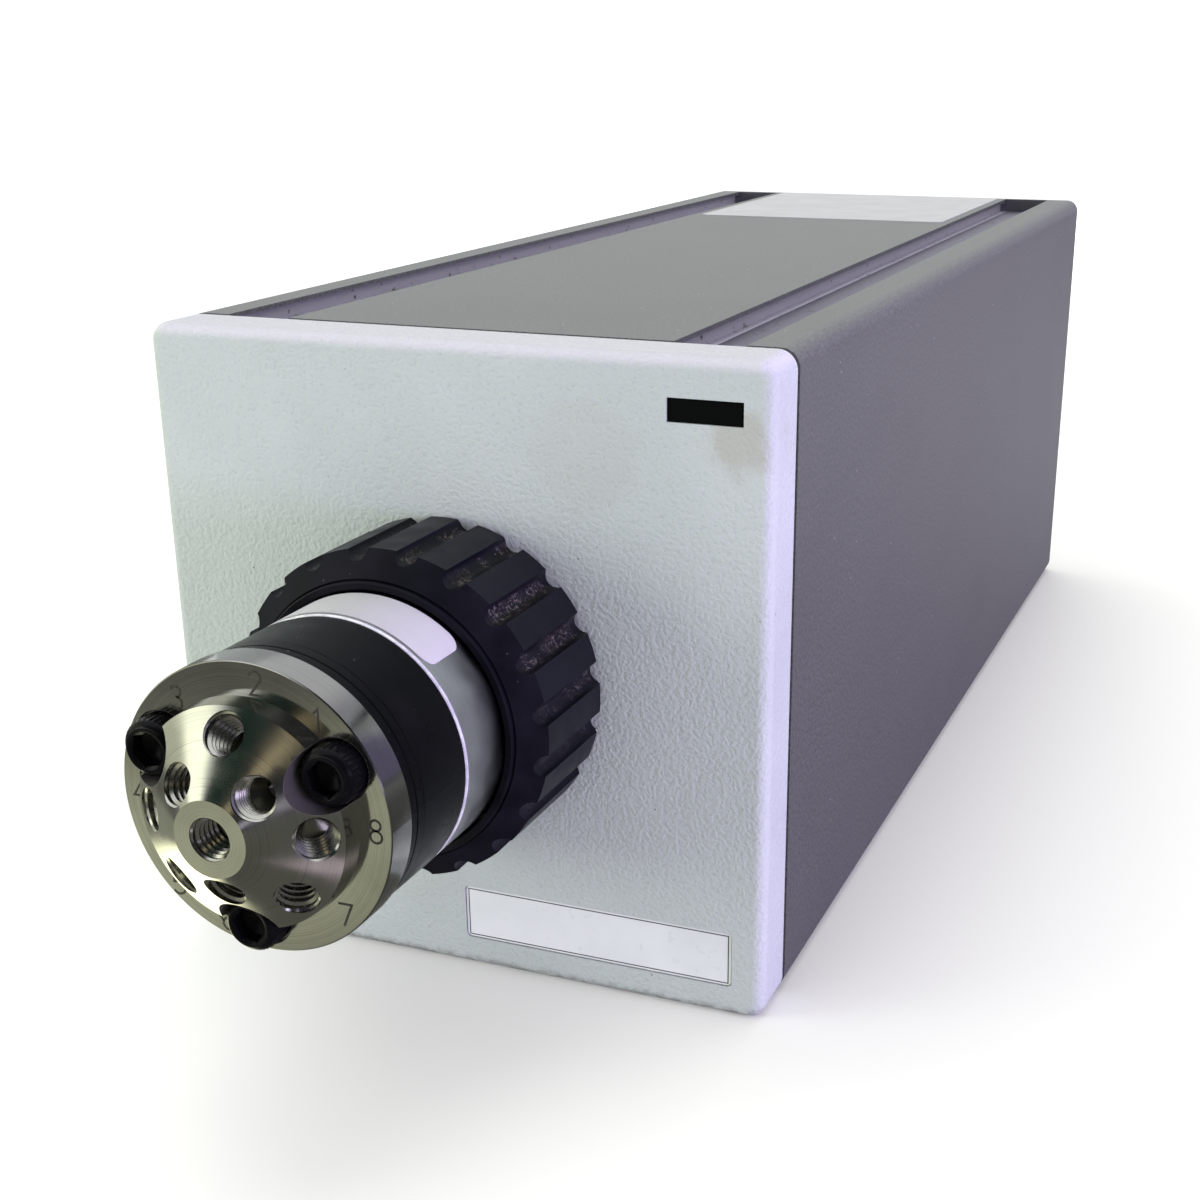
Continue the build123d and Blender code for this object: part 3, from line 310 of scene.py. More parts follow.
def casing_finish():
    """Grey blasted extrusion: fine grit, faint die lines, specks, and grooves with painted lavender light,
    paler on their walls.
    """
    s = Surface("casing_finish", (0.16, 0.165, 0.17), 0.50)
    grit = s.noise(0.50 * MM, detail=4.0, rough=0.75)
    streak = s.noise(1.3 * MM, detail=3.0, stretch=(1, 0.015, 1))
    cloud = s.noise(22 * MM, detail=4.0, stretch=(1, 0.6, 1))
    base = s.mix(s.span(grit, 0.34, 0.66), (0.108, 0.113, 0.108), (0.232, 0.239, 0.228))
    base = s.mix(s.both(s.span(streak, 0.45, 0.75), 0.05), base, (0.25, 0.255, 0.25))
    base = s.mix(s.both(s.span(cloud, 0.45, 0.7), 0.12), base, (0.12, 0.12, 0.125))
    across = s.calc("ABSOLUTE", s.part("X"))
    inside = s.both(s.span(across, GROOVE_FROM, GROOVE_FROM + 0.3 * MM),
                    s.span(across, GROOVE_TO - 0.3 * MM, GROOVE_TO, 1.0, 0.0))
    deep = s.both(inside, s.span(s.part("Z"), GROOVE_TOP - 1.0 * MM, GROOVE_TOP, 1.0, 0.0))
    # Painted light: a lavender tint deep in the grooves, where the lamps don't reach.
    base = s.mix(s.both(deep, 0.6), base, (0.15, 0.13, 0.21))
    # Painted light: the grooves' walls and undercuts are paler, lavender and not metallic, so they look
    # lit.
    near_middle = s.span(across, GROOVE_FROM + 2.0 * MM, GROOVE_FROM + 2.4 * MM, 1.0, 0.0)
    near_side = s.span(across, GROOVE_TO - 2.0 * MM, GROOVE_TO - 1.6 * MM)
    wall = s.both(s.calc("MAXIMUM", near_middle, near_side), deep)
    base = s.mix(s.both(wall, 0.75), base, (0.58, 0.55, 0.68))
    s.feed(s.shader, "Metallic", s.span(wall, 0.0, 1.0, 0.65, 0.0))
    soil = s.both(deep, s.span(s.noise(1.6 * MM, 3.0), 0.64, 0.70))
    base = s.mix(s.both(soil, 0.8), base, (0.055, 0.030, 0.030))
    speck = s.specks(2.4 * MM, 0.05, 0.075, 7 * MM, 0.54, 0.62)
    base = s.mix(speck, base, (0.52, 0.52, 0.50))
    chip = s.specks(4.1 * MM, 0.03, 0.05, 11 * MM, 0.52, 0.60)
    s.paint(s.mix(s.both(chip, 0.7), base, (0.035, 0.03, 0.035)))
    s.gloss(s.span(grit, 0.3, 0.7, 0.42, 0.56))
    s.bump(grit, 0.035 * MM, 0.6)
    s.bump(streak, 0.004 * MM, 0.4)
    return s.material


def turned_steel(name, color, roughness, anisotropy, depth, stator=False):
    """Bright turned metal: fine rings about the valve axis stretch its highlights.

    The stator's outer wall is darker than its face as painted shade, and its drilled screw pockets are
    duller."""
    s = Surface(name, color, roughness, Metallic=1.0, Anisotropic=anisotropy)
    where = ring_coordinate(s)
    s.bump(s.noise(0.12 * MM, detail=1.0, where=where), depth, 0.5)
    smear = s.noise(4 * MM, detail=4.0)
    smooth = s.span(smear, 0.35, 0.7, roughness * 0.85, roughness * 1.3)
    s.gloss(smooth)
    tarnish = s.noise(9 * MM, detail=3.0)
    dull = tuple(c * 0.84 for c in color)
    dark = tuple(c * 0.70 for c in color)
    paint = s.mix(s.both(s.span(tarnish, 0.45, 0.7), 0.5), color, dull)
    passes = s.span(s.noise(0.16 * MM, detail=3.0, rough=0.7, where=where), 0.48, 0.72)
    paint = s.mix(s.both(passes, 0.7), paint, dark)
    if stator:
        # Painted shade: the stator's outer wall is darker than its front face.
        rim = s.span(s.axis_radius(), STATOR_RADIUS, STATOR_RADIUS + 0.12 * MM)
        paint = s.mix(s.both(rim, 0.66), paint, (0.17, 0.165, 0.18))
        near = s.axis_radius(screw_place(SCREW_ANGLES[0]))
        for angle in SCREW_ANGLES[1:]:
            near = s.calc("MINIMUM", near, s.axis_radius(screw_place(angle)))
        drilled = s.span(near, SCREW_POCKET_RADIUS + 0.02 * MM, SCREW_POCKET_RADIUS + 0.06 * MM, 1.0, 0.0)
        s.gloss(s.calc("MAXIMUM", smooth, s.both(drilled, 0.42)))
        s.feed(s.shader, "Metallic", s.span(drilled, 0.0, 1.0, 1.0, 0.9))
        paint = s.mix(s.both(drilled, 0.75), paint, (0.26, 0.24, 0.25))
    s.paint(paint)
    s.tangent()
    return s.material


def ring_coordinate(s):
    """A vector that changes only along and away from the valve axis, for rings and grooves."""
    node = s.nodes.new("ShaderNodeCombineXYZ")
    s.links.new(s.axis_radius(), node.inputs["X"])
    s.links.new(s.part("Y"), node.inputs["Y"])
    return node.outputs["Vector"]


def nut_black():
    """Black moulded nut: satin lands, with pale brown grit lying in its flutes."""
    s = Surface("nut_black", (0.004, 0.004, 0.007), 0.42, Specular_IOR_Level=0.11)
    grain = s.noise(0.35 * MM, detail=3.0)
    cloud = s.noise(6 * MM, detail=4.0)
    low = s.span(s.axis_radius(), FLUTE_FLOOR, FLUTE_RIM, 1.0, 0.0)
    behind = s.span(s.part("Y"), FLUTE_FRONT_Y, FLUTE_FRONT_Y + 1.2 * MM)
    grit = s.span(s.noise(0.45 * MM, 4.0, 0.75), 0.50, 0.64)
    patch = s.span(s.noise(3.5 * MM, 2.0), 0.35, 0.60)
    upper = s.span(s.part("Z"), 40.0 * MM, 62.0 * MM, 0.25, 1.0)
    dust = s.both(s.both(low, behind), s.both(grit, patch))
    dust = s.both(dust, upper)
    speck = s.specks(1.9 * MM, 0.05, 0.08, 4 * MM, 0.55, 0.62)
    base = s.mix(s.span(cloud, 0.35, 0.7), (0.0030, 0.0031, 0.0052), (0.0055, 0.0054, 0.0090))
    base = s.mix(s.both(dust, 0.75), base, (0.17, 0.145, 0.13))
    s.paint(s.mix(s.both(speck, 0.7), base, (0.22, 0.20, 0.18)))
    s.gloss(s.span(cloud, 0.3, 0.7, 0.34, 0.48))
    s.bump(grain, 0.02 * MM, 0.5)
    return s.material


def black_plastic(name, roughness):
    """Satin black moulding with a cloudy bloom."""
    color = (0.016, 0.016, 0.018)
    s = Surface(name, color, roughness, Specular_IOR_Level=0.3)
    cloud = s.noise(5 * MM, detail=4.0)
    s.gloss(s.span(cloud, 0.3, 0.7, roughness * 0.85, roughness * 1.25))
    pale = tuple(min(1.0, c * 1.9 + 0.006) for c in color)
    s.paint(s.mix(s.both(s.span(cloud, 0.45, 0.75), 0.5), color, pale))
    s.bump(s.noise(0.4 * MM, 2.0), 0.01 * MM, 0.4)
    return s.material


def ring_film():
    """Black sleeve with the fine edge of a film wrapped round it, its seam and a few specks."""
    s = Surface("ring_film", (0.002, 0.002, 0.0026), 0.30, Specular_IOR_Level=0.06)
    cloud = s.noise(5 * MM, detail=4.0)
    edge = s.calc("ABSOLUTE", s.calc("SUBTRACT", s.part("Y"), FILM_EDGE_Y))
    line = s.span(edge, 0.04 * MM, 0.10 * MM, 1.0, 0.0)
    across = s.calc("ABSOLUTE", s.calc("SUBTRACT", s.part("X"), FILM_SEAM_X))
    above = s.span(s.part("Z"), 50 * MM, 52 * MM)
    seam = s.both(s.span(across, 0.05 * MM, 0.14 * MM, 1.0, 0.0), above)
    speck = s.specks(2.2 * MM, 0.035, 0.055, 5 * MM, 0.56, 0.62)
    marks = s.calc("MAXIMUM", line, seam)
    base = s.mix(s.span(cloud, 0.45, 0.75), (0.0014, 0.0016, 0.0020), (0.0028, 0.0029, 0.0036))
    base = s.mix(marks, base, (0.0004, 0.0004, 0.0004))
    s.paint(s.mix(s.both(speck, 0.7), base, (0.20, 0.19, 0.18)))
    s.gloss(s.span(cloud, 0.3, 0.7, 0.26, 0.36))
    s.bump(marks, -0.06 * MM, 0.7)
    return s.material


def black_oxide():
    """Blackened steel screw with a few brighter worn spots."""
    s = Surface("black_oxide", (0.006, 0.006, 0.007), 0.26, Metallic=0.6, Specular_IOR_Level=0.25)
    worn = s.span(s.noise(0.5 * MM, 4.0, 0.65), 0.64, 0.80)
    s.paint(s.mix(s.both(worn, 0.4), (0.005, 0.005, 0.006), (0.09, 0.088, 0.085)))
    s.gloss(s.span(s.noise(0.9 * MM, 3.0), 0.3, 0.7, 0.17, 0.34))
    s.bump(s.noise(0.25 * MM, 2.0), 0.008 * MM, 0.5)
    return s.material


def metal(name, color, roughness, grain=0.5 * MM):
    """Plain machined or plated metal with a little grain."""
    s = Surface(name, color, roughness, Metallic=1.0)
    rub = s.noise(grain, detail=3.0)
    s.gloss(s.span(rub, 0.3, 0.7, roughness * 0.8, roughness * 1.3))
    dull = tuple(c * 0.88 for c in color)
    s.paint(s.mix(s.span(s.noise(grain * 9, 3.0), 0.4, 0.75), color, dull))
    s.bump(rub, 0.006 * MM, 0.4)
    return s.material


def highlight_edge_steel():
    """Satin edge, pale and half diffuse so that it shows a painted highlight from every side."""
    s = Surface("highlight_edge_steel", (0.74, 0.74, 0.76), 0.22, Metallic=0.5)
    wear = s.noise(1.5 * MM, 3.0)
    s.paint(s.mix(s.span(wear, 0.4, 0.7), (0.74, 0.74, 0.76), (0.52, 0.52, 0.56)))
    s.gloss(s.span(wear, 0.3, 0.7, 0.18, 0.30))
    s.bump(s.noise(0.3 * MM, 2.0), 0.004 * MM, 0.4)
    return s.material


def paper(name, color):
    """Blank label film with the slight waviness of a glued sheet."""
    roughness = 0.5
    s = Surface(name, color, roughness)
    wave = s.noise(9 * MM, detail=2.0)
    s.bump(wave, 0.05 * MM, 0.35)
    s.bump(s.noise(0.12 * MM, 2.0), 0.004 * MM, 0.4)
    soiled = tuple(c * 0.9 for c in color)
    s.paint(s.mix(s.both(s.span(s.noise(5 * MM, 5.0), 0.45, 0.75), 0.6), color, soiled))
    s.gloss(s.span(wave, 0.3, 0.7, roughness * 0.85, roughness * 1.1))
    return s.material


def label_film():
    """Pale grey printed plate with a thin dark outline just inside its edge."""
    s = Surface("label_film", (0.42, 0.45, 0.44), 0.33)
    x = s.calc("ABSOLUTE", s.calc("SUBTRACT", s.part("X"), LABEL_CENTRE_X))
    z = s.calc("ABSOLUTE", s.calc("SUBTRACT", s.part("Z"), LABEL_CENTRE_Z))
    edge = s.calc("MAXIMUM", s.calc("SUBTRACT", x, LABEL_LINE_X), s.calc("SUBTRACT", z, LABEL_LINE_Z))
    line = s.both(s.span(edge, 0.0, 0.05 * MM), s.span(edge, 0.17 * MM, 0.22 * MM, 1.0, 0.0))
    cloud = s.span(s.noise(8 * MM, 3.0), 0.3, 0.7)
    base = s.mix(cloud, (0.49, 0.52, 0.51), (0.525, 0.555, 0.545))
    s.paint(s.mix(line, base, (0.05, 0.05, 0.055)))
    s.gloss(s.span(s.noise(2 * MM, 3.0), 0.3, 0.7, 0.27, 0.38))
    s.bump(s.noise(0.6 * MM, 2.0), 0.006 * MM, 0.5)
    return s.material


def window_smoke():
    """Glossy black window with faint dust."""
    s = Surface("window_smoke", (0.0025, 0.0032, 0.0027), 0.10, Specular_IOR_Level=0.02)
    s.gloss(s.span(s.noise(0.8 * MM, 5.0), 0.45, 0.75, 0.08, 0.22))
    s.bump(s.noise(4 * MM, 1.0), 0.01 * MM, 0.3)
    return s.material


def circuit_board():
    """Green board with paler copper tracks under the mask."""
    s = Surface("circuit_board", (0.012, 0.10, 0.045), 0.32)
    lanes = s.nodes.new("ShaderNodeTexBrick")
    s.links.new(s.coords, lanes.inputs["Vector"])
    lanes.inputs["Scale"].default_value = 180.0
    lanes.inputs["Mortar Size"].default_value = 0.03
    s.paint(s.mix(lanes.outputs["Fac"], (0.010, 0.085, 0.040), (0.030, 0.17, 0.070)))
    s.gloss(s.span(s.noise(1.5 * MM, 3.0), 0.3, 0.7, 0.25, 0.40))
    s.bump(lanes.outputs["Fac"], 0.03 * MM, 0.4)
    return s.material


def plastic(name, color, roughness):
    """Plain moulded plastic with a fine grain and a slightly uneven colour."""
    s = Surface(name, color, roughness)
    grain = 0.4 * MM
    speckle = s.noise(grain, detail=3.0)
    dark = tuple(c * 0.85 for c in color)
    s.paint(s.mix(s.span(s.noise(grain * 12, 4.0), 0.35, 0.7), color, dark))
    s.gloss(s.span(speckle, 0.3, 0.7, roughness * 0.85, roughness * 1.2))
    s.bump(speckle, 0.015 * MM, 0.4)
    return s.material


def engraved_ink():
    """Dark floor of an engraved stroke."""
    s = Surface("engraved_ink", (0.085, 0.082, 0.070), 0.45, Metallic=0.8)
    s.paint(s.mix(s.span(s.noise(0.15 * MM, 3.0), 0.3, 0.7), (0.06, 0.058, 0.05), (0.14, 0.135, 0.12)))
    s.gloss(s.span(s.noise(0.2 * MM, 2.0), 0.3, 0.7, 0.38, 0.55))
    return s.material


surfaces = {
    "casing_metal": casing_finish(),
    "panel_plastic": panel_paint(),
    "plate_metal": metal("plate_metal", (0.30, 0.30, 0.32), 0.45),
    "label_film": label_film(),
    "window_smoke": window_smoke(),
    "led": plastic("led", (0.55, 0.62, 0.50), 0.2),
    "board": circuit_board(),
    "component": plastic("component", (0.05, 0.05, 0.055), 0.4),
    "bright_steel": metal("bright_steel", (0.62, 0.61, 0.59), 0.24),
    "rear_screw_steel": metal("rear_screw_steel", (0.45, 0.44, 0.42), 0.3),
    "gear_metal": metal("gear_metal", (0.36, 0.36, 0.37), 0.35),
    "encoder": plastic("encoder", (0.08, 0.08, 0.09), 0.3),
    "lan_shell": metal("lan_shell", (0.58, 0.57, 0.55), 0.3),
    "serial_shell": metal("serial_shell", (0.52, 0.50, 0.46), 0.33),
    "inlet_black": black_plastic("inlet_black", 0.4),
    "inlet_nut": metal("inlet_nut", (0.55, 0.54, 0.52), 0.3),
    "sticker": paper("sticker", (0.365, 0.367, 0.372)),
    "nut_black": nut_black(),
    "body_steel": turned_steel("body_steel", (0.60, 0.60, 0.64), 0.36, 0.45, 0.0012 * MM),
    "ring_black": ring_film(),
    "stator_steel": turned_steel("stator_steel", (0.60, 0.60, 0.545), 0.135, 0.78, 0.002 * MM, stator=True),
    "screw_black": black_oxide(),
    "face_polymer": plastic("face_polymer", (0.50, 0.42, 0.30), 0.35),
}
engraving = engraved_ink()

for entry in frame["record"]["subparts"]:
    cad_node = nodes[entry["node"]]
    for place in cad_node.material_slots:
        place.material = surfaces[entry["material_slot"]]


# -------------------------------------------------------------------- port threads
TIP_Y, TIP_RADIUS, STEP_TOP_RADIUS, CONE_LENGTH = -176.3 * MM, 4.6 * MM, 13.4 * MM, 5.85 * MM
PORT_BORE, PORT_MINOR, PORT_PITCH = 2.41 * MM, 2.06 * MM, 0.794 * MM
OUTER_PORTS = (10.8 * MM, 38.0, (0, 90, 180, 225, 315))
INNER_PORTS = (7.2 * MM, 25.0, (45, 135, 270))


def port_matrix(circle, angle, tilt):
    """Matrix of a port's mouth on the cone, with +Z out along the port."""
    turn, lean = math.radians(angle), math.radians(tilt)
    mouth = TIP_Y
    if circle:
        mouth += (circle - TIP_RADIUS) * CONE_LENGTH / (STEP_TOP_RADIUS - TIP_RADIUS)
    out = Vector((math.cos(turn) * math.sin(lean), -math.cos(lean), math.sin(turn) * math.sin(lean)))
    origin = Vector((circle * math.cos(turn), mouth, AXIS_HEIGHT + circle * math.sin(turn)))
    return Matrix.Translation(origin) @ out.to_track_quat("Z", "Y").to_matrix().to_4x4()


def port_threads():
    """Thread ridges of the centre port and the eight ports on the cone."""
    ports = [(0.0, 0.0, 0.0, 5.0 * MM)]
    for circle, tilt, angles in (OUTER_PORTS, INNER_PORTS):
        ports += [(circle, angle, tilt, 6.0 * MM) for angle in angles]
    shapes = []
    for circle, angle, tilt, depth in ports:
        ridge = helix_ridge(PORT_MINOR, PORT_BORE + 0.03 * MM, PORT_PITCH, -depth + 0.3 * MM, -0.62 * MM)
        shapes.append(placed(ridge, port_matrix(circle, angle, tilt)))
    return joined(shapes)


new_piece("port_threads", *port_threads(), "valve_head", "stator_steel",
          metal("thread_steel", (0.60, 0.59, 0.54), 0.22, 0.3 * MM))


# ------------------------------------------------------------------- stator screws
SCREW_SEAT_Y = -167.0 * MM
SCREW_END_Y = -143.4 * MM
SCREW_TWISTS = (12, 47, 25)
SCREW_POINTS = 96
SCREW_KNURLS, KNURL_DEPTH = 34, 0.20 * MM
HEXAGON_ACROSS = 3.8 * MM
# Radius and height of a screw's plain rings, in millimetres
SCREW_NECK = ((1.98, -0.02), (3.3, 0.0), (3.42, 0.15))
SCREW_CROWN = (
    (3.36, 3.16), (3.30, 3.28), (3.10, 3.50), (2.86, 3.70), (2.76, 3.76),
    (2.72, 3.92), (2.62, 4.0), (2.34, 4.0), (2.24, 3.94),
)
SCREW_SOCKET_FLOOR = ((1.65, 1.95), (0.25, 1.35))


def screw_ring(radius, z, ridges=0, depth=0.0):
    """One ring of a screw's outline, with straight knurl ridges where asked."""
    ring = []
    for i in range(SCREW_POINTS):
        angle = 2 * math.pi * i / SCREW_POINTS
        r = radius - depth * (0.5 - 0.5 * math.cos(ridges * angle)) if ridges else radius
        ring.append(Vector((r * math.cos(angle), r * math.sin(angle), z)))
    return ring


def hex_ring(flats, z):
    """A hexagon across the given flats, as a ring of points."""
    ring = []
    for i in range(SCREW_POINTS):
        angle = 2 * math.pi * i / SCREW_POINTS
        off = (angle + math.pi / 6) % (math.pi / 3) - math.pi / 6
        r = flats / 2 / math.cos(off)
        ring.append(Vector((r * math.cos(angle), r * math.sin(angle), z)))
    return ring


def cap_screw():
    """Knurled socket head cap screw with its seat at Z = 0 and its head towards +Z."""
    shank = SCREW_END_Y - SCREW_SEAT_Y
    rings = [screw_ring(1.3 * MM, -shank), screw_ring(1.98 * MM, -shank + 0.7 * MM)]
    rings += [screw_ring(r * MM, z * MM) for r, z in SCREW_NECK]
    rings += [screw_ring(3.5 * MM, z * MM, SCREW_KNURLS, KNURL_DEPTH) for z in (0.35, 3.0)]
    rings += [screw_ring(r * MM, z * MM) for r, z in SCREW_CROWN]
    rings += [hex_ring(HEXAGON_ACROSS, z * MM) for z in (3.72, 2.05)]
    rings += [screw_ring(r * MM, z * MM) for r, z in SCREW_SOCKET_FLOOR]
    return skin(rings)


def stator_screws():
    """The three screws that hold the stator, each turned to where it happened to stop."""
    shapes = []
    for angle, twist in zip(SCREW_ANGLES, SCREW_TWISTS):
        spin = Matrix.Rotation(math.radians(twist), 4, "Z")
        shapes.append(placed(cap_screw(), along_valve(screw_place(angle, SCREW_SEAT_Y)) @ spin))
    return joined(shapes)


screws = new_piece("cap_screws", *stator_screws(), "valve_head", "screw_black", surfaces["screw_black"])
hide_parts("stator_screws")


# --------------------------------------------------------------------- rim numbers
RIM_Y = -167.8 * MM


def arc(cx, cz, radius, start, end, steps=16):
    """Points of an arc, in degrees."""
    turns = [math.radians(start + (end - start) * k / steps) for k in range(steps + 1)]
    return [(cx + radius * math.cos(t), cz + radius * math.sin(t)) for t in turns]


# Single strokes, 3 tall and about 1.8 wide, centred on the digit
DIGITS = {
    1: [[(-0.5, 0.8), (0.15, 1.5), (0.15, -1.5)]],
    2: [arc(0, 0.72, 0.78, 170, -35) + [(-0.82, -1.5), (0.85, -1.5)]],
    3: [arc(-0.05, 0.78, 0.70, 160, -80, 14) + arc(-0.05, -0.68, 0.82, 85, -155)],
    4: [[(0.45, -1.5), (0.45, 1.5), (-0.9, -0.6), (0.9, -0.6)]],
    5: [[(0.75, 1.5), (-0.62, 1.5), (-0.74, 0.15)] + arc(-0.05, -0.58, 0.90, 125, -150)],
    6: [[(0.6, 1.42)] + arc(0.35, -0.3, 1.75, 100, 160, 8) + arc(0, -0.62, 0.86, 160, 520, 22)],
    7: [[(-0.95, 1.5), (0.95, 1.5), (-0.3, -1.5)]],
    8: [arc(0, 0.78, 0.70, -90, 270, 20), arc(0, -0.72, 0.80, 90, 450, 20)],
}
# Where each digit stands, in millimetres from the valve axis
RIM_DIGITS = {
    1: (9.2, 12.0), 2: (1.65, 15.3), 3: (-9.0, 12.2), 4: (-15.5, -0.2),
    5: (-11.4, -11.3), 6: (-4.9, -14.8), 7: (11.0, -11.2), 8: (15.6, -0.1),
}


def stroke(points, half_width, low, high):
    """A thin flat bar along an XZ line, from Y = low (sunk) to Y = high (proud)."""
    rings = []
    count = len(points)
    for k, (x, z) in enumerate(points):
        before, after = points[max(k - 1, 0)], points[min(k + 1, count - 1)]
        into = Vector((x - before[0], z - before[1]))
        out = Vector((after[0] - x, after[1] - z))
        ways = [w.normalized() for w in (into, out) if w.length > 1e-9]
        way = sum(ways, Vector((0, 0))).normalized()
        side = Vector((-way.y, way.x))
        lean = max(0.5, abs(side.dot(Vector((-ways[0].y, ways[0].x)))))
        wide = side * half_width / lean
        rings.append([
            Vector((x - wide.x, low, z - wide.y)),
            Vector((x - wide.x * 0.75, high, z - wide.y * 0.75)),
            Vector((x + wide.x * 0.75, high, z + wide.y * 0.75)),
            Vector((x + wide.x, low, z + wide.y)),
        ])
    return skin(rings)


def rim_numbers():
    """The ports' numbers, engraved beside them on the stator's rim."""
    size = 0.92
    shapes = []
    for digit, (x, z) in RIM_DIGITS.items():
        for line in DIGITS[digit]:
            points = [((x + size * u) * MM, AXIS_HEIGHT + (z + size * v) * MM) for u, v in line]
            shapes.append(stroke(points, 0.19 * MM, RIM_Y + 0.04 * MM, RIM_Y - 0.012 * MM))
    return joined(shapes)


new_piece("rim_numbers", *rim_numbers(), "valve_head", "stator_steel", engraving)


# --------------------------------------------------------------- body's rolled edge
def body_edge():
    """Small bead that rounds the front edge of the steel body where the black ring starts."""
    bead, middle, front_y = 0.36 * MM, 16.875 * MM, -149.04 * MM
    around, section = 180, 14
    verts = []
    for i in range(around):
        turn = 2 * math.pi * i / around
        for j in range(section):
            lift = 2 * math.pi * j / section
            r = middle + bead * math.cos(lift)
            verts.append((r * math.cos(turn), front_y + bead * math.sin(lift),
                          AXIS_HEIGHT + r * math.sin(turn)))
    faces = []
    for i in range(around):
        for j in range(section):
            a, b = i * section, ((i + 1) % around) * section
            k = (j + 1) % section
            faces.append((a + j, a + k, b + k, b + j))
    return verts, faces


# The bead wears a pale finish that paints a highlight along the body's front edge.
new_piece("body_edge", *body_edge(), "valve_head", "body_steel", highlight_edge_steel())


# ------------------------------------------------------------------- socket thread
SOCKET_BACK_Y = -118.6 * MM
SOCKET_CREST, SOCKET_ROOT, SOCKET_PITCH = 18.9 * MM, 18.6 * MM, 2.0 * MM


def socket_thread():
    """Thread of the socket ring that the nut screws on to, seen when the head slides out."""
    ridge = helix_ridge(SOCKET_CREST, SOCKET_ROOT, SOCKET_PITCH, 0.9 * MM, 9.3 * MM, steps=72)
    return placed(ridge, along_valve((0, SOCKET_BACK_Y, AXIS_HEIGHT)))


new_piece("socket_thread", *socket_thread(), "drive", "bright_steel", surfaces["bright_steel"])


# ------------------------------------------------------------- stage, light, camera
def stage_floor():
    """Wide pale floor, slightly darker and warmer round the object as painted shade against the lamps'
    light there, whose edge lies past every view's horizon.
    """
    mesh = bpy.data.meshes.new("floor")
    half = 30.0
    mesh.from_pydata([(-half, -half, 0), (half, -half, 0), (half, half, 0), (-half, half, 0)],
                     [], [(0, 1, 2, 3)])
    floor = bpy.data.objects.new("floor", mesh)
    bpy.context.scene.collection.objects.link(floor)
    s = Surface("floor_card", (0.95, 0.95, 0.95), 0.9, Specular_IOR_Level=0.0)
    away = s.nodes.new("ShaderNodeVectorMath")
    away.operation = "LENGTH"
    s.links.new(s.coords, away.inputs[0])
    # Painted shade: the floor is darker and warmer near the object, evening out the lamps' light there.
    s.paint(s.mix(s.span(away.outputs["Value"], 0.15, 1.3), (0.735, 0.745, 0.690), (0.96, 0.96, 0.96)))
    mesh.materials.append(s.material)


def soft_light(name, place, target, width, height, power, color):
    """An area lamp at place that looks at the target and stays out of reflections."""
    lamp = bpy.data.lights.new(name, "AREA")
    lamp.shape = "RECTANGLE"
    lamp.size, lamp.size_y = width, height
    lamp.energy, lamp.color = power, color
    holder = bpy.data.objects.new(name, lamp)
    way = Vector(target) - Vector(place)
    holder.matrix_world = Matrix.Translation(place) @ way.to_track_quat("-Z", "Y").to_matrix().to_4x4()
    holder.visible_camera = holder.visible_glossy = False
    bpy.context.scene.collection.objects.link(holder)


def glow(name, verts, faces, place, base, spots, by_direction):
    """A glowing card that only reflections see, for painted reflections: a base colour with soft spots of
    other colours.

    A spot is (centre, inner, outer, colour). Its size is an angle in degrees where the card
    is a dome, and a distance in metres where it lies flat."""
    mesh = bpy.data.meshes.new(name)
    mesh.from_pydata(verts, [], faces)
    card = bpy.data.objects.new(name, mesh)
    card.location = place
    card.visible_camera = card.visible_diffuse = card.visible_shadow = False
    bpy.context.scene.collection.objects.link(card)
    s = Surface(name, (0, 0, 0), 1.0)
    color = base
    for centre, inner, outer, tint in spots:
        way = s.nodes.new("ShaderNodeVectorMath")
        s.links.new(s.coords, way.inputs[0])
        if by_direction:
            way.operation = "DOT_PRODUCT"
            way.inputs[1].default_value = Vector(centre).normalized() / DOME_RADIUS
            inner, outer = math.cos(math.radians(inner)), math.cos(math.radians(outer))
            share = s.span(way.outputs["Value"], outer, inner)
        else:
            way.operation = "DISTANCE"
            way.inputs[1].default_value = centre
            share = s.span(way.outputs["Value"], inner, outer, 1.0, 0.0)
        color = s.mix(share, color, tint)
    s.feed(s.shader, "Emission Color", color)
    s.set("Emission Strength", 1.0)
    s.material.cycles.emission_sampling = "NONE"
    mesh.materials.append(s.material)


DOME_RADIUS = 2.0
DOME_PLACE = (0.0, -0.17, 0.0)
FLOOR_GLOW_HEIGHT = 0.3 * MM
# Painted reflections on the dome: bright spots for the lamps, which reflections don't see, and dark and
# tinted patches.
DOME_SPOTS = [
    ((0.9, 0.35, 0.2), 35, 62, (0.22, 0.20, 0.32)),
    ((-0.95, -0.15, 0.15), 15, 45, (0.62, 0.64, 0.50)),
    ((0.25, -0.87, 0.30), 34, 52, (0.022, 0.023, 0.028)),
    ((-0.80, -0.46, 0.38), 8, 15, (1.9, 1.95, 1.60)),
    ((-0.38, -0.75, 0.56), 11, 20, (0.006, 0.022, 0.016)),
    ((0.05, -0.87, 0.50), 4, 9, (0.50, 0.42, 0.27)),
    ((0.44, -0.89, 0.14), 3, 8, (0.60, 0.57, 0.70)),
    ((0.92, -0.38, 0.10), 6, 16, (1.7, 1.5, 2.3)),
]
# Painted reflection of the floor: the dark base is painted shade under the valve, the spots painted light
# and shade.
FLOOR_SPOTS = [
    ((0.0, 0.70, 0.0), 0.25, 0.55, (0.60, 0.61, 0.61)),
    ((-0.060, -0.065, 0.0), 0.015, 0.075, (0.50, 0.51, 0.38)),
    ((-0.120, 0.025, 0.0), 0.02, 0.085, (0.26, 0.27, 0.21)),
    ((-0.046, 0.012, 0.0), 0.014, 0.040, (3.2, 3.22, 2.15)),
    ((0.036, -0.036, 0.0), 0.004, 0.014, (0.62, 0.52, 0.60)),
]


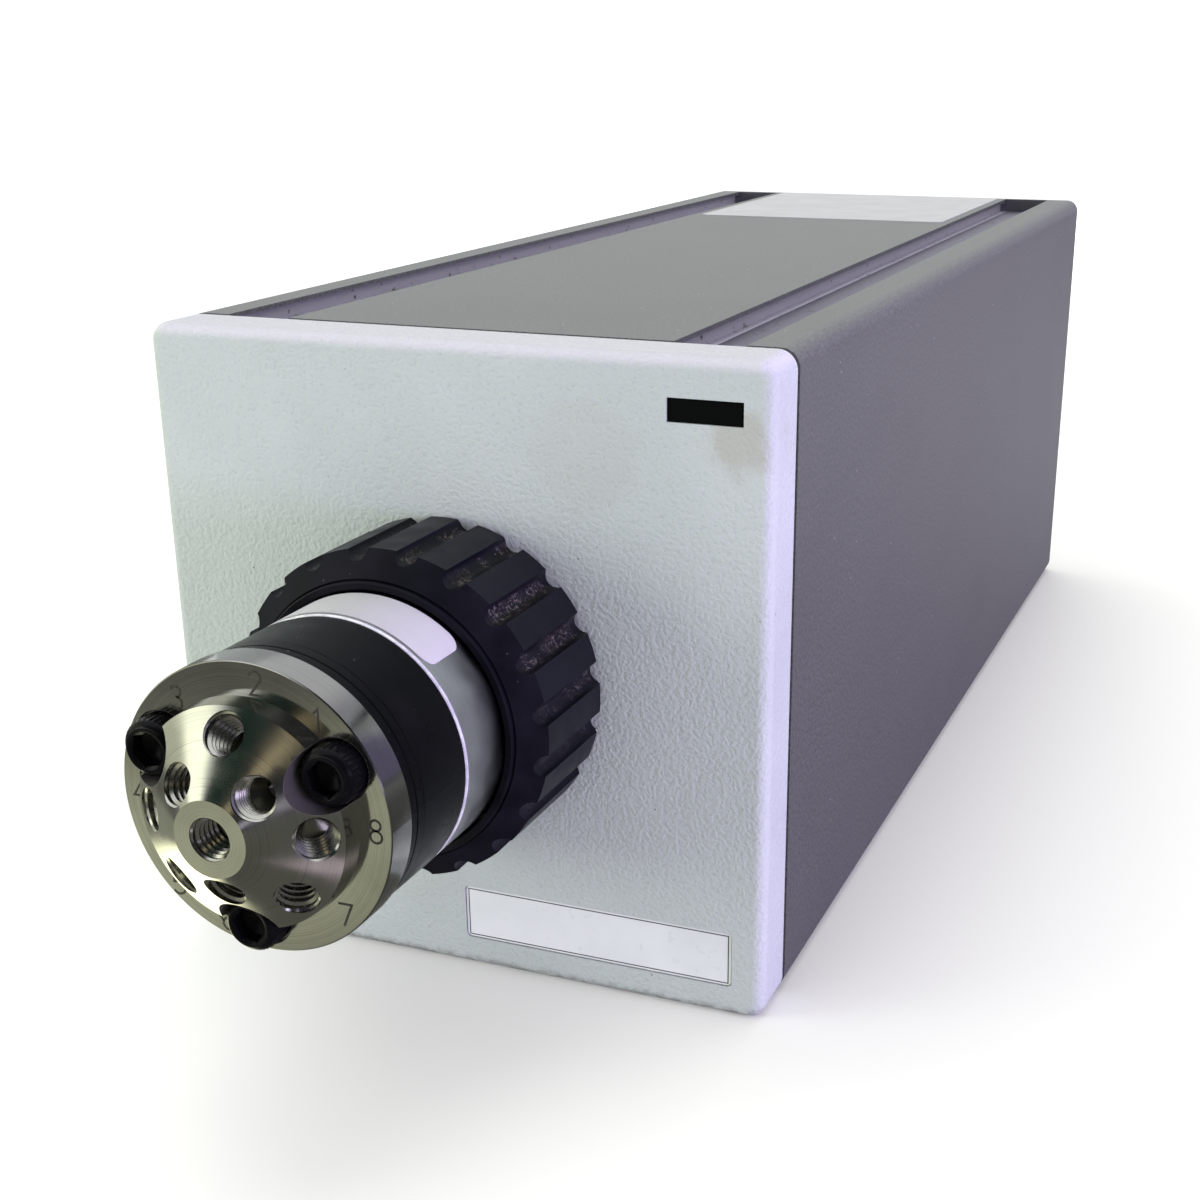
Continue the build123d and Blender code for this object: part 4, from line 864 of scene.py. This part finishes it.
def reflections():
    """Dome and floor card that give the bright metal painted reflections: dark, tinted surroundings,
    painted highlights for the lamps, and the floor's painted light and shade.
    """
    verts, faces, around, up = [], [], 48, 12
    for row in range(up):
        lift = math.radians(90 * row / up)
        for i in range(around):
            turn = 2 * math.pi * i / around
            flat = DOME_RADIUS * math.cos(lift)
            verts.append((flat * math.cos(turn), flat * math.sin(turn), DOME_RADIUS * math.sin(lift)))
    verts.append((0, 0, DOME_RADIUS))
    for row in range(up - 1):
        for i in range(around):
            j = (i + 1) % around
            low, high = row * around, (row + 1) * around
            faces.append((low + i, low + j, high + j, high + i))
    last = (up - 1) * around
    faces += [(last + i, last + (i + 1) % around, len(verts) - 1) for i in range(around)]
    glow("dome", verts, faces, DOME_PLACE, (1.0, 1.02, 1.04), DOME_SPOTS, True)
    disc = [(v[0], v[1], FLOOR_GLOW_HEIGHT) for v in verts[:around]]
    glow("floor_glow", disc, [tuple(range(around))], DOME_PLACE, (0.10, 0.10, 0.088), FLOOR_SPOTS, False)


MIDDLE = (0.0, -0.12, 0.05)
REAR_MIDDLE = (0.0, 0.1, 0.05)
WHITE = (1.0, 1.0, 1.0)


def studio():
    """White surroundings, a key lamp, a top lamp, a rear fill and a lavender fill from the right."""
    world = bpy.data.worlds.new("studio")
    world.use_nodes = True
    backdrop = world.node_tree.nodes["Background"].inputs
    backdrop["Color"].default_value = (*WHITE, 1.0)
    backdrop["Strength"].default_value = 1.06
    world.cycles.sampling_method = "NONE"
    bpy.context.scene.world = world
    soft_light("key_left", (-0.45, -0.42, 0.15), MIDDLE, 0.26, 0.26, 2.6, (0.98, 1.0, 0.92))
    soft_light("top", (-0.15, 0.1, 1.0), (0, 0, 0.05), 0.7, 0.7, 4.3, (0.98, 1.0, 0.98))
    soft_light("rear_fill", (-0.15, 1.1, 0.35), REAR_MIDDLE, 0.6, 0.4, 3.5, WHITE)
    soft_light("lavender_right", (0.88, -0.27, 0.10), MIDDLE, 0.5, 0.2, 13.5, (0.65, 0.50, 1.0))


CAMERA_PLACE = Vector((0.10693, -0.31572, 0.12559))
CAMERA_RIGHT = Vector((0.92931, 0.36929, -0.00415))
CAMERA_UP = Vector((-0.12623, 0.32816, 0.93615))
CAMERA_FORWARD = Vector((-0.34707, 0.86945, -0.35158))
LENS_LENGTH, SENSOR_WIDTH = 51.895, 36.0
LENS_SHIFT_X, LENS_SHIFT_Y = -0.0417, 0.075


def add_camera():
    """Camera in front of the valve, to its right and above it."""
    lens = bpy.data.cameras.new("camera")
    lens.lens, lens.sensor_width = LENS_LENGTH, SENSOR_WIDTH
    lens.shift_x, lens.shift_y = LENS_SHIFT_X, LENS_SHIFT_Y
    camera = bpy.data.objects.new("camera", lens)
    turn = Matrix((CAMERA_RIGHT, CAMERA_UP, -CAMERA_FORWARD)).transposed().to_4x4()
    camera.matrix_world = Matrix.Translation(CAMERA_PLACE) @ turn
    bpy.context.scene.collection.objects.link(camera)
    bpy.context.scene.camera = camera
    bpy.context.scene.view_settings.view_transform = "Standard"


stage_floor()
reflections()
studio()
add_camera()
